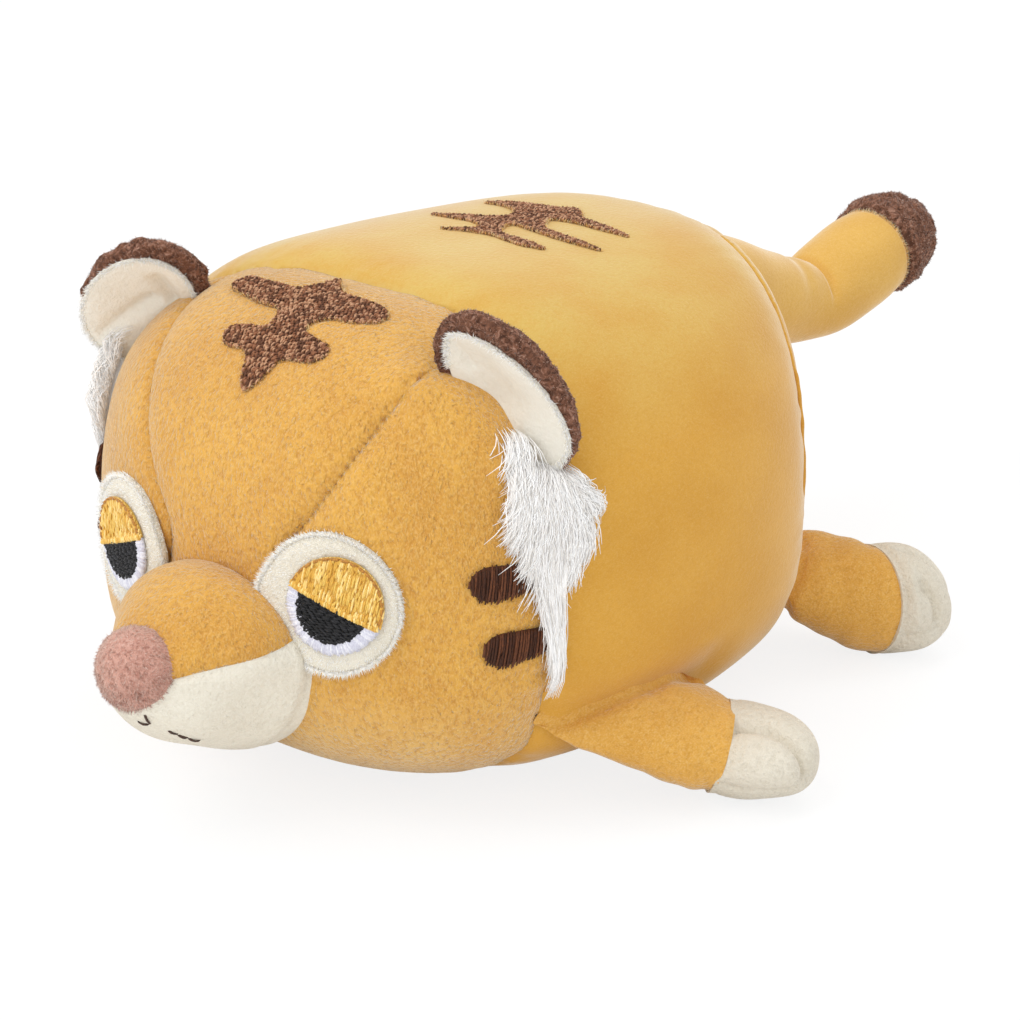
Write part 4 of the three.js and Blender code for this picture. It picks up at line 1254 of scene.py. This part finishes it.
lining_reach = {"left": (0.95, 0.24, 0.05, 0), "right": (0.88, 0, 0.1, 0.2)}


def lining_share(turn, side):
    """How far the lining reaches towards the rim of an ear in each direction."""
    most, upper, inner, outward = lining_reach[side]
    rolled = upper * np.clip(np.sin(turn), 0, 1) ** 2
    return most - rolled + inner * (np.cos(turn - outward) - (1 if upper else 0))


def ear_flat(across, up):
    """Places in the middle plane of an ear, from its sewn edge."""
    level = ear_half_height * up + ear_middle
    return np.column_stack([ear_half_width * across - ear_lean * level, level])


def ear_front(across, up, side):
    """Height of the front of an ear over its middle plane: a rolled rim round a hollow."""
    around = np.clip(across ** 2 + up ** 2, 0, 1)
    height = ear_front_depth * np.sqrt(1 - around ** 3)
    height -= ear_hollow * (1 - around) ** 1.4
    lower_inner = rise(-across, -0.5, 0.5) * rise(-up, -0.6, 0.2)
    height -= ear_sink[side] * lower_inner * np.sqrt(1 - around)
    flat = np.column_stack([ear_flat(across, up), np.zeros(len(across))])
    for start, end, depth, width in ear_folds[side]:
        near = from_line(flat, (*start, 0), (*end, 0))
        height -= valley(near, depth, width) * (1 - around)
    return height


def ear_place(across, upward, height, side):
    """Points of the toy from places in the frame of an ear and heights over its middle plane."""
    root, along, up, front, sign = ear_frames[side]
    flat = ear_flat(across, upward)
    points = root + flat[:, :1] * np.array(along) + flat[:, 1:] * np.array(up)
    return (points + height[:, None] * np.array(front)) * [sign, 1, 1]


def curly(points, seed, size=3.2):
    """The relief of short curls: ridges that wind round one another."""
    wander = np.stack([unevenness(points, size * 2.2, seed + i) for i in range(3)], 1)
    return np.abs(unevenness(points + wander * size * 0.5, size, seed + 5))


def curly_plush(name, tone, shade, tip):
    """Curly pile: painted shade in the hollows between curls and painted highlights on their tops.
    """
    finish, tree, shader = new_finish(name, {
        "Roughness": 0.85,
        "Specular IOR Level": 0.2,
        "Sheen Weight": 0.7,
        "Sheen Roughness": 0.4,
        "Sheen Tint": tip,
    })
    curls = grain(tree, 1, 3, (1, 1, 1), 0.9)
    fine = grain(tree, 0.35, 2)
    # Painted shade where the curls dip, painted highlights on their tops.
    colour = mixed(tree, curls, 0.36, 0.56, shade, tone)
    colour = mixed(tree, curls, 0.56, 0.75, colour, tip)
    feed(tree, shader, {"Base Color": colour, "Normal": raised(tree, [(curls, 1.1), (fine, 0.2)])})
    return finish


brown_plush = curly_plush("brown_plush", "#7f5541", "#4d3023", "#b98f7b")
brown_hairs = hair_finishes("brown_hair", ["#5f3e2f", "#835944", "#b08873"])
# The lining's own copy of the cream plush is a little whiter: painted light that lifts the shade in
# the ear.
lining_lit_tones = ("#efebe0", "#e3dccd", "#fbf8f0")
lining_lit_plush = plush("lining_lit_plush", lining_lit_tones, grain_size=1, relief=0.3, contrast=0.4)


def fur_on(name, mesh, count, length, width, lean, finishes, slot, body, seed, spread=0.5):
    """A pile of separate hairs on a mesh, evenly by area, as a piece of its own."""
    points, triangles = mesh
    draw = np.random.default_rng(seed)
    a, b, c = (points[triangles[:, i]] for i in range(3))
    face = np.cross(b - a, c - a)
    area = np.linalg.norm(face, axis=1)
    pick = draw.choice(len(triangles), count, p=area / area.sum())
    part = draw.uniform(size=(2, count, 1))
    part = np.where(part.sum(0) > 1, 1 - part, part)
    roots = a[pick] + (b - a)[pick] * part[0] + (c - a)[pick] * part[1]
    out = face[pick] / area[pick][:, None]
    hairs = pile_hairs(roots - out * 0.2, out, np.array(lean), length, width, draw, spread)
    pile_piece(name, hairs, finishes, slot, body, draw)


def ear_shell(side, body):
    """The brown leaf of an ear: a full back, a rolled rim and a hollow front."""
    sign = ear_frames[side][4]
    ways, quads = ball_grid(ear_squares)
    across, upward, deep = ways.T
    height = np.where(deep > 0, ear_front(across, upward, side), 0)
    height -= np.where(deep < 0, ear_back_depth * np.abs(deep) ** 0.85, 0)
    points = ear_place(across, upward, height, side)
    quads = quads[:, ::sign]
    triangles = split_squares(quads)
    out = point_normals(points, triangles)
    points = points + out * (0.6 * curly(points, 71) - 0.3)[:, None]
    name = f"ear_back_{side}"
    shell = make_piece(name, points, quads, brown_plush, "brown_plush", body, [name])
    fur_on(
        f"{name}_pile", (points, triangles), ear_hairs, length=0.75, width=0.26,
        lean=(0, 0, -0.2), finishes=brown_hairs, slot="brown_plush", body=body, seed=72,
        spread=0.8,
    )


def ear_lining(side, body):
    """The cream lining in the hollow of an ear, with a soft pile edge over the brown."""
    front, sign = np.array(ear_frames[side][3]), ear_frames[side][4]
    ways, quads = ball_grid(ear_squares)
    share = lining_share(np.arctan2(ways[:, 1], ways[:, 0]), side)
    across, upward, deep = (ways * np.column_stack([share, share, np.ones(len(ways))])).T
    height = ear_front(across, upward, side)
    height += np.where(deep > 0, 1.2 * np.abs(deep) ** 0.5, -0.9 * np.abs(deep))
    points = ear_place(across, upward, height, side)
    name = f"ear_lining_{side}"
    lining = make_piece(name, points, quads[:, ::sign], lining_lit_plush, "cream_plush", body, [name])

    draw = np.random.default_rng(73)
    turn = draw.uniform(-0.5, np.pi + 0.5, lining_rim_hairs)
    share = lining_share(turn, side) + draw.uniform(-0.06, 0.01, lining_rim_hairs)
    across, upward = np.cos(turn) * share, np.sin(turn) * share
    height = ear_front(across, upward, side) + 0.5
    roots = ear_place(across, upward, height, side)
    farther = ear_place(across * 1.05, upward * 1.05, height, side)
    out = np.tile(front * [sign, 1, 1], (len(turn), 1))
    hairs = pile_hairs(
        roots, out, (farther - roots) * 1.3, length=1.3, width=0.17, draw=draw, spread=0.45
    )
    pile_piece(f"{name}_rim", hairs, cream_hairs, "cream_plush", body, draw)


for side in ear_frames:
    ear_shell(side, f"{side}_ear")
    ear_lining(side, f"{side}_ear")


# Fur tufts on the cheeks
# Long white pile in a leaf under each ear. It hangs down and outward in loose locks, covers the
# back ends of the stripes, and draws together to a thin curled tail.

tuft_locks = [
    ([(-38.8, 75), (-40.2, 71), (-41.8, 66), (-42.8, 60)], 1.8, 1.4, 520),
    ([(-37.5, 70), (-40.6, 66), (-43, 61), (-43.9, 55.5)], 2.6, 1.2, 800),
    ([(-37.5, 70), (-39.6, 63), (-41.6, 56), (-42.2, 50)], 3.2, 1.4, 980),
    ([(-37.5, 70), (-38.2, 62), (-39.4, 52), (-39.4, 44)], 3.6, 1.5, 1080),
    ([(-38.5, 62), (-40.6, 50), (-37.4, 39), (-38.2, 29)], 3, 0.6, 800),
    ([(-36, 69.5), (-35.2, 62), (-35, 55), (-36.2, 47.5)], 3, 1.3, 860),
    ([(-34.5, 68), (-33, 64.5), (-31, 61.8), (-27.6, 60)], 2.2, 1.3, 480),
    ([(-35, 67.5), (-33.4, 61), (-32.4, 56.5), (-32.6, 51)], 2.6, 1.4, 540),
]
tuft_outline = np.array([
    (-37.5, 70), (-40.5, 66.5), (-42.6, 60), (-42, 54), (-40.6, 48), (-40, 40), (-38.6, 31),
    (-37.4, 32), (-36.8, 41), (-35.4, 49), (-33.4, 54), (-31.8, 60), (-33.4, 66.5),
])
tuft_lift = 2.4
tuft_top_lift = 5
tuft_hair_width = 0.17
tuft_flare = 0.9

fur_hairs = hair_finishes("white_fur", ["#efece8", "#fbf9f7", "#ffffff"], glow=0.08)


def lock_hairs(guide, spread, tip_spread, count, draw, stations=5):
    """Flat middle lines of the hairs of one lock, and how high each stands off the cheek."""
    guide = np.array(guide, float)
    part = np.linspace(0, 1, stations)
    starts = draw.uniform(0, 0.6, count)[:, None]
    ends = starts + draw.uniform(0.35, 0.5, (count, 1))
    at = starts + (ends - starts) * part
    middle = 0
    for number, (choose, point) in enumerate(zip((1, 3, 3, 1), guide)):
        middle = middle + (choose * at ** number * (1 - at) ** (3 - number))[..., None] * point
    along = unit(np.gradient(middle, axis=1))
    across = np.stack([-along[..., 1], along[..., 0]], 2)
    offset = draw.normal(0, 0.45, count)[:, None] * (spread * (1 - at) + tip_spread * at)
    wave = np.sin(at * draw.uniform(3, 6, (count, 1)) + draw.uniform(0, 6.3, (count, 1)))
    flare = draw.normal(0, tuft_flare, (count, 1)) * tip_spread * part ** 2
    flat = middle + across * (offset + flare + 0.45 * wave)[..., None]
    swell = np.sin(np.pi * (0.12 + 0.8 * part))
    lift = tuft_lift + (tuft_top_lift - tuft_lift) * rise(flat[..., 1], 50, 62)
    return flat, lift * draw.uniform(0.4, 1, (count, 1)) * swell + 0.2


for side, onto in (("left", on_left_side), ("right", on_right_side)):
    draw = np.random.default_rng(81)
    lines = []
    outs = []
    for guide, spread, tip_spread, count in tuft_locks:
        flat, height = lock_hairs(guide, spread, tip_spread, count, draw)
        ground = onto(flat.reshape(-1, 2))
        out = loaf_normal(ground)
        lines.append((ground + out * height.reshape(-1, 1)).reshape(*flat.shape[:2], 3))
        outs.append(out.reshape(*flat.shape[:2], 3))
    pad = low_mound(softened(tuft_outline), 0.8, onto, base=-0.4, height=2.6, shoulder=2.4)
    rows = threads(np.concatenate(lines), np.concatenate(outs), tuft_hair_width / 2, sides=3)
    name = f"cheek_tuft_{side}"
    worked_piece(name, pad, [rows], fur_hairs[1], fur_hairs, "white_fur", draw)


# Legs
# Each leg is a short sleeve of coat plush, sewn flat to the side of the body and stuffed towards
# its end, with a cream paw sewn on. The paw rides on the leg's own body.

leg_shapes = {
    "foreleg": {
        "root": (54.51, -17.73, 18), "root_axis": (0.1108, 0.9938, 0), "half_root": 18.4,
        "seam": (66.7, -4.5, 8.7), "ahead": (0.9135, 0.4067, 0), "half_width": 12.2,
        "half_height": 8.4, "root_half_height": 6.2, "paw_length": 18.6, "paw_power": 2.4,
        "paw_turn": 3, "seam_slant": 0.2, "seam_lean": 0.26, "toes": [(-4.2, -0.2, 0.012)],
        "sole_height": 5.6,
    },
    "hindleg": {
        "root": (37.33, 55.05, 16.58), "root_axis": (-0.6719, 0.7406, 0), "half_root": 14.9,
        "seam": (52.2, 66.8, 10.9), "ahead": (0.7314, 0.682, 0), "half_width": 11.8,
        "half_height": 11.6, "root_half_height": 7, "paw_length": 15.6, "paw_power": 2.3,
        "paw_turn": 2.5, "seam_slant": 0.36, "seam_lean": 0.1,
        "toes": [(-9.2, 0.2, 0), (0, 0.1, 0.012)], "sole_height": 7.4,
    },
}
leg_swell_power = 0.6
leg_clearance = 0.1
straight_up = [(0, 0, 1)]
leg_around = 96
cap_angle = radians(60)
paw_overlap_share = 0.05

sleeve_tones = ("#e0aa52", "#cb923c", "#f6d797")
sleeve_plush = plush(
    "sleeve_plush", sleeve_tones, grain_size=0.7, relief=0.35, contrast=0.75,
    stretch=(1, 0.6, 1),
)
# The paws' own copy of the cream plush is a little darker: painted shade that tones down the light
# on them.
paw_shaded_tones = ("#e0d9c9", "#d0c8b6", "#f7f3e9")
paw_plush = plush("paw_plush", paw_shaded_tones, grain_size=0.9, relief=0.5, contrast=0.6)


def limb_rings(centres, axes, ups, half_widths, half_heights, around):
    """Points of oval rings, each with half its width along one axis and half its height up."""
    turn = np.linspace(0, 2 * np.pi, around, endpoint=False)[:, None]
    across = half_widths[:, None, None] * np.cos(turn) * np.asarray(axes)[:, None]
    upward = half_heights[:, None, None] * np.sin(turn) * np.asarray(ups)[:, None]
    return (centres[:, None] + across + upward).reshape(-1, 3)


def closed_tube(points, stations, around):
    """A tube of rings with a fan of triangles over each end."""
    ring = np.arange(around)
    after = np.roll(ring, -1)
    shift = (stations - 1) * around
    first = np.full(around, len(points))
    ends = [points[:around].mean(0), points[shift:shift + around].mean(0)]
    triangles = [
        split_squares(ring_grid(stations, around)),
        np.stack([first, after, ring], 1),
        np.stack([first + 1, ring + shift, after + shift], 1),
    ]
    return np.concatenate([points, ends]), np.concatenate(triangles)


def slanted(points, shape, share):
    """Shears a limb so that its paw seam slants and leans, by a share for each point."""
    seam, ahead = np.array(shape["seam"]), np.array(shape["ahead"])
    slant = ((points - seam) @ np.cross([0, 0, 1], ahead)) * shape["seam_slant"]
    slant -= (points[:, 2] - seam[2]) * shape["seam_lean"]
    return points - (slant * share)[:, None] * ahead


def pulled_in(points, out, depth, ahead, share):
    """Sinks points by a depth, but not along the limb where their share is 1.

    None of them comes closer to the floor than the clearance.
    """
    out = out - (out @ ahead * share)[:, None] * ahead
    points = points - out * depth[:, None]
    points[:, 2] = np.maximum(points[:, 2], leg_clearance)
    return points


def sleeve_mesh(shape, stations=66):
    root, seam = np.array(shape["root"]), np.array(shape["seam"])
    ahead = np.array(shape["ahead"])
    seam_axis = np.cross([0, 0, 1], ahead)
    share = np.linspace(-0.2, 1, stations)[:, None]
    onward = np.clip(share, 0, 1)
    axes = unit(np.array(shape["root_axis"]) * (1 - onward) + seam_axis * onward)
    swell = np.sin(onward[:, 0] * np.pi / 2) ** leg_swell_power
    widths = shape["half_root"] * (1 - onward[:, 0]) + shape["half_width"] * onward[:, 0]
    heights = shape["root_half_height"] * (1 - swell) + shape["half_height"] * swell
    centres = root * (1 - share) + seam * share
    points = limb_rings(centres, axes, straight_up, widths, heights, leg_around)
    to_seam = np.repeat(1 - onward[:, 0], leg_around) * np.linalg.norm(seam - root)
    points = slanted(points, shape, np.repeat(onward[:, 0] ** 2, leg_around))
    out = point_normals(points, split_squares(ring_grid(stations, leg_around)))
    from_body = loaf_gap(points)
    depth = seam_dent(to_seam, 0.35, 0.6, 0.5, 3) + seam_dent(from_body, 0.9, 1.3, 0.6, 4.5)
    folds = np.sin(points @ np.array(shape["root_axis"]) * 0.55 + 1.3 * unevenness(points, 14, 91))
    depth += 0.25 * folds * np.exp(-np.maximum(from_body, 0) / 6)
    creases = np.sin(points @ ahead * 1.1 + 2 * unevenness(points, 17, 94))
    depth += 0.22 * creases * (0.4 + 0.6 * np.exp(-to_seam / 4))
    depth += 0.4 * (1 + unevenness(points, 16, 92))
    points = pulled_in(points, out, depth, ahead, np.repeat(onward[:, 0] ** 4, leg_around))
    return closed_tube(points, stations, leg_around)


def paw_mesh(shape, stations=52):
    start, ahead = np.array(shape["seam"]), np.array(shape["ahead"])
    seam_axis = np.cross([0, 0, 1], ahead)
    share = np.sin(np.linspace(0, np.pi / 2, stations))[:-1]
    share[0] = -paw_overlap_share
    size = rounded_end(share, shape["paw_power"])
    length = shape["paw_length"]
    turned = shape["paw_turn"] * share ** 2
    centres = start + share[:, None] * length * ahead - turned[:, None] * seam_axis
    widths = (shape["half_width"] + 0.5 * np.sin(np.pi * share)) * size
    heights = shape["half_height"] * size
    points = limb_rings(centres, [seam_axis], straight_up, widths, heights, leg_around)
    part = np.repeat(1 - share, leg_around) ** 1.5
    along = np.repeat(share, leg_around) * length
    points = slanted(points, shape, part)
    out = point_normals(points, split_squares(ring_grid(len(share), leg_around)))
    across = (points - start) @ seam_axis + np.repeat(turned, leg_around)
    depth = seam_dent(along, 0.3, 0.6, 0.3, 2.5) + 0.3 * (1 + unevenness(points, 12, 93))
    sole = points[:, 2] - shape["sole_height"] + 0.3 * unevenness(points, 5, 95)
    sole = seam_dent(sole, 0.6, 0.5, 0.4, 2)
    depth += sole * rise(np.abs(across), 3, 7) * rise(along, 0, 1)
    for place, start_share, bend in shape["toes"]:
        bent = across - place + bend * (along - length * 0.5) ** 2
        groove = seam_dent(bent, 1.2, 0.9, 1.3, 2.6)
        upward = rise(points[:, 2], shape["sole_height"] - 1, shape["sole_height"] + 3)
        depth += groove * upward * rise(along, length * start_share, length * (start_share + 0.25))
    points = pulled_in(points, out, depth, ahead, part)
    return closed_tube(points, len(share), leg_around)


for leg_name, shape in leg_shapes.items():
    for side, sign in (("left", 1), ("right", -1)):
        mirror = np.array([sign, 1, 1])
        body = f"{side}_{leg_name}"
        name = f"{leg_name}_{side}"
        points, triangles = sleeve_mesh(shape)
        mesh = points * mirror, triangles[:, ::sign]
        sleeve = make_piece(name, *mesh, sleeve_plush, "coat_plush", None, [name])
        outward = np.cross(shape["root_axis"], (0, 0, 1)) * mirror
        root = np.array(shape["root"]) * mirror
        start, end = (root - outward * 3) * mm, (root + outward * 5) * mm
        name = f"{leg_name}_paw_{side}"
        points, triangles = paw_mesh(shape)
        mesh = points * mirror, triangles[:, ::sign]
        paw = make_piece(name, *mesh, paw_plush, "cream_plush", body, [name])
        for piece in (sleeve, paw):
            piece.data.set_sharp_from_angle(angle=cap_angle)
        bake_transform(sleeve)


# Tail
# A stuffed tube of coat plush that falls from the rump and bends upward again, with a crease on
# the inside of the bend. Its end is curly brown plush, sewn on round the tube.

tail_root = np.array([0, 73.21, 63.55])
tail_fall = radians(18.5)
tail_rise = radians(12)
tail_bend_run = 44
tail_end_run = 71
tail_bend_reach = 11
tail_root_radius = 12.6
tail_radius = 9.6
tail_tip_radius = 10.8
tail_tip_length = 16.5
tail_tip_power = 2.4
tail_split = 41
tail_fold_place = 31
tail_crease_place = 42.5
tail_swell_place = 52
tail_overlap = 2.5
tail_hem_reach = 1.3
tail_hem_hairs = 2600
tail_tip_hairs = 6500
tail_around = 80

# The tail's own copy of the coat plush is paler and yellower all over: painted highlight for the
# light on it.
tail_highlight_tones = ("#dbae5a", "#cd9b46", "#f4deae")
tail_highlight_plush = plush(
    "tail_highlight_plush", tail_highlight_tones, grain_size=0.6, relief=0.1, contrast=0.35, stretch=(1, 0.6, 1)
)
tail_stretches = {
    "tail_root": (np.linspace(-7, tail_split, 100), ("torso", -5), ("tail_base", 6)),
    "tail_end": (
        np.linspace(tail_split - tail_overlap, tail_end_run, 90), ("tail_base", 39),
        ("tail_far", 51),
    ),
}


def tail_path(runs):
    """Middle points and headings of the tail at distances from the rump."""
    steps = np.linspace(-8, tail_end_run + tail_tip_length, 800)
    turn = rise(steps, tail_bend_run - tail_bend_reach, tail_bend_run + tail_bend_reach)
    slant = -tail_fall * (1 - turn) + tail_rise * turn
    heading = np.stack([0 * slant, np.cos(slant), np.sin(slant)], 1)
    stride = np.diff(steps, prepend=steps[0])[:, None]
    places = np.cumsum(heading * stride, axis=0)
    start = [np.interp(0, steps, places[:, i]) for i in range(3)]
    places = places - start + tail_root
    at = [np.interp(runs, steps, places[:, i]) for i in range(3)]
    return np.stack(at, 1), np.interp(runs, steps, slant)


def tail_stretch(runs, radii):
    """Rings of the tail, how far along each point lies and how high on its ring."""
    middle, slants = tail_path(runs)
    ups = np.stack([0 * slants, -np.sin(slants), np.cos(slants)], 1)
    points = limb_rings(middle, [(-1, 0, 0)], ups, radii, radii, tail_around)
    turn = np.linspace(0, 2 * np.pi, tail_around, endpoint=False)
    return points, np.repeat(runs, tail_around), np.tile(np.sin(turn), len(runs))


def tail_width(run):
    ease = np.cos(np.clip(run / tail_bend_run, 0, 1) * np.pi / 2) ** 2
    onward = np.clip((run - tail_bend_run) / (tail_end_run - tail_bend_run), 0, 1)
    grown = tail_radius + (tail_tip_radius - tail_radius) * onward
    return grown + (tail_root_radius - tail_radius) * ease


def tail_dents(points, run, level):
    """How far creases and seams pull the tail in."""
    inside = rise(level, -0.1, 0.85)
    bent = run - tail_crease_place - 3 * level + 0.6 * unevenness(points, 9, 105)
    depth = inside * seam_dent(bent, 1.5, 1.3, 1, 5)
    depth += inside * valley(run - tail_fold_place - 2 * level, 0.45, 2.4)
    depth += rise(-level, 0.2, 0.8) * valley(run - tail_swell_place, -0.5, 9)
    depth += seam_dent(loaf_gap(points), 0.9, 1.3, 0.8, 4.5)
    depth += seam_dent(run - tail_end_run, 0.8, 0.8, 0.5, 3.5)
    return depth + 0.3 * (1 + unevenness(points, 20, 101))


for name, (runs, near, far) in tail_stretches.items():
    points, run, level = tail_stretch(runs, tail_width(runs))
    wall = split_squares(ring_grid(len(runs), tail_around))
    out = point_normals(points, wall)
    tucked = rise(run, tail_split + 0.2, tail_split - tail_overlap) * (name == "tail_end")
    points = points - out * (tail_dents(points, run, level) + tucked)[:, None]
    points, triangles = closed_tube(points, len(runs), tail_around)
    stretch = make_piece(name, points, triangles, tail_highlight_plush, "coat_plush", None, [name])
    stretch.data.set_sharp_from_angle(angle=cap_angle)
    (start_body, start_run), (end_body, end_run) = near, far
    start, end = tail_path(np.array([start_run, end_run]))[0] * mm
    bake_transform(stretch)

hem = wall[run[wall].min(1) > tail_end_run - tail_hem_reach]
fur_on(
    "tail_end_hem", (points, hem), tail_hem_hairs, length=1.4, width=0.22, lean=(0, 1.6, 0.4),
    finishes=coat_hairs, slot="coat_plush", body="tail_far", seed=107,
)

tip_share = np.sin(np.linspace(0, np.pi / 2, 54))[:-1]
tip_runs = tail_end_run + tip_share * tail_tip_length
tip_radii = tail_tip_radius * rounded_end(tip_share, tail_tip_power)
points, run, level = tail_stretch(tip_runs, tip_radii)
out = point_normals(points, split_squares(ring_grid(len(tip_runs), tail_around)))
fold = valley(points[:, 0] - 2.2 + 0.8 * unevenness(points, 8, 106), 1.3, 1.2)
depth = valley(run - tail_end_run, 0.8, 0.8) + 0.2 - 0.6 * curly(points, 103, 3.4)
depth += fold * rise(level, 0.2, 0.8) * rise(run, tail_end_run + 5, tail_end_run + 10)
points, triangles = closed_tube(points - out * depth[:, None], len(tip_runs), tail_around)
tip = make_piece("tail_tip", points, triangles, brown_plush, "brown_plush", "tail_far", ["tail_tip"])
fur_on(
    "tail_tip_pile", (points, triangles[:-2 * tail_around]), tail_tip_hairs, length=0.75,
    width=0.27, lean=(0, 0.3, -0.2), finishes=brown_hairs, slot="brown_plush",
    body="tail_far", seed=104, spread=0.8,
)


# Seam round the rump
# The back panel is pinched and stitched along the corner of the rump, so a thin ridge of pile
# stands up there on each side of the tail.

ridge_radius = 0.5
ridge_sides = 8

ridge_around = np.radians(np.linspace(20, 104, 170))
ridge_y = rump_seam_back - rump_seam_sweep * np.sin(ridge_around)
ridge_middle = np.stack([0 * ridge_around, ridge_y, rump_seam_level + 0 * ridge_around], 1)
ridge_way = np.stack([np.sin(ridge_around), 0 * ridge_around, np.cos(ridge_around)], 1)
ridge_line = onto_loaf(ridge_middle + ridge_way * 150, ridge_middle)
ridge_out = loaf_normal(ridge_line)
ridge_wave = 0.15 * unevenness(ridge_line, 6, 111) + 0.1 * unevenness(ridge_line, 1.8, 112)
ridge_ends = 1.2 * valley(np.abs(ridge_around - np.radians(62)) - np.radians(42), 1, 0.12)
ridge_line = ridge_line + ridge_out * (ridge_wave - 0.75 - ridge_ends)[:, None]
for side, sign in (("left", 1), ("right", -1)):
    points, faces, _ = threads(ridge_line[None], ridge_out[None], ridge_radius, ridge_sides)
    faces = [face[::sign] for face in faces]
    make_piece(f"rump_seam_{side}", points * [sign, 1, 1], faces, coat_plush, "coat_plush", "torso")
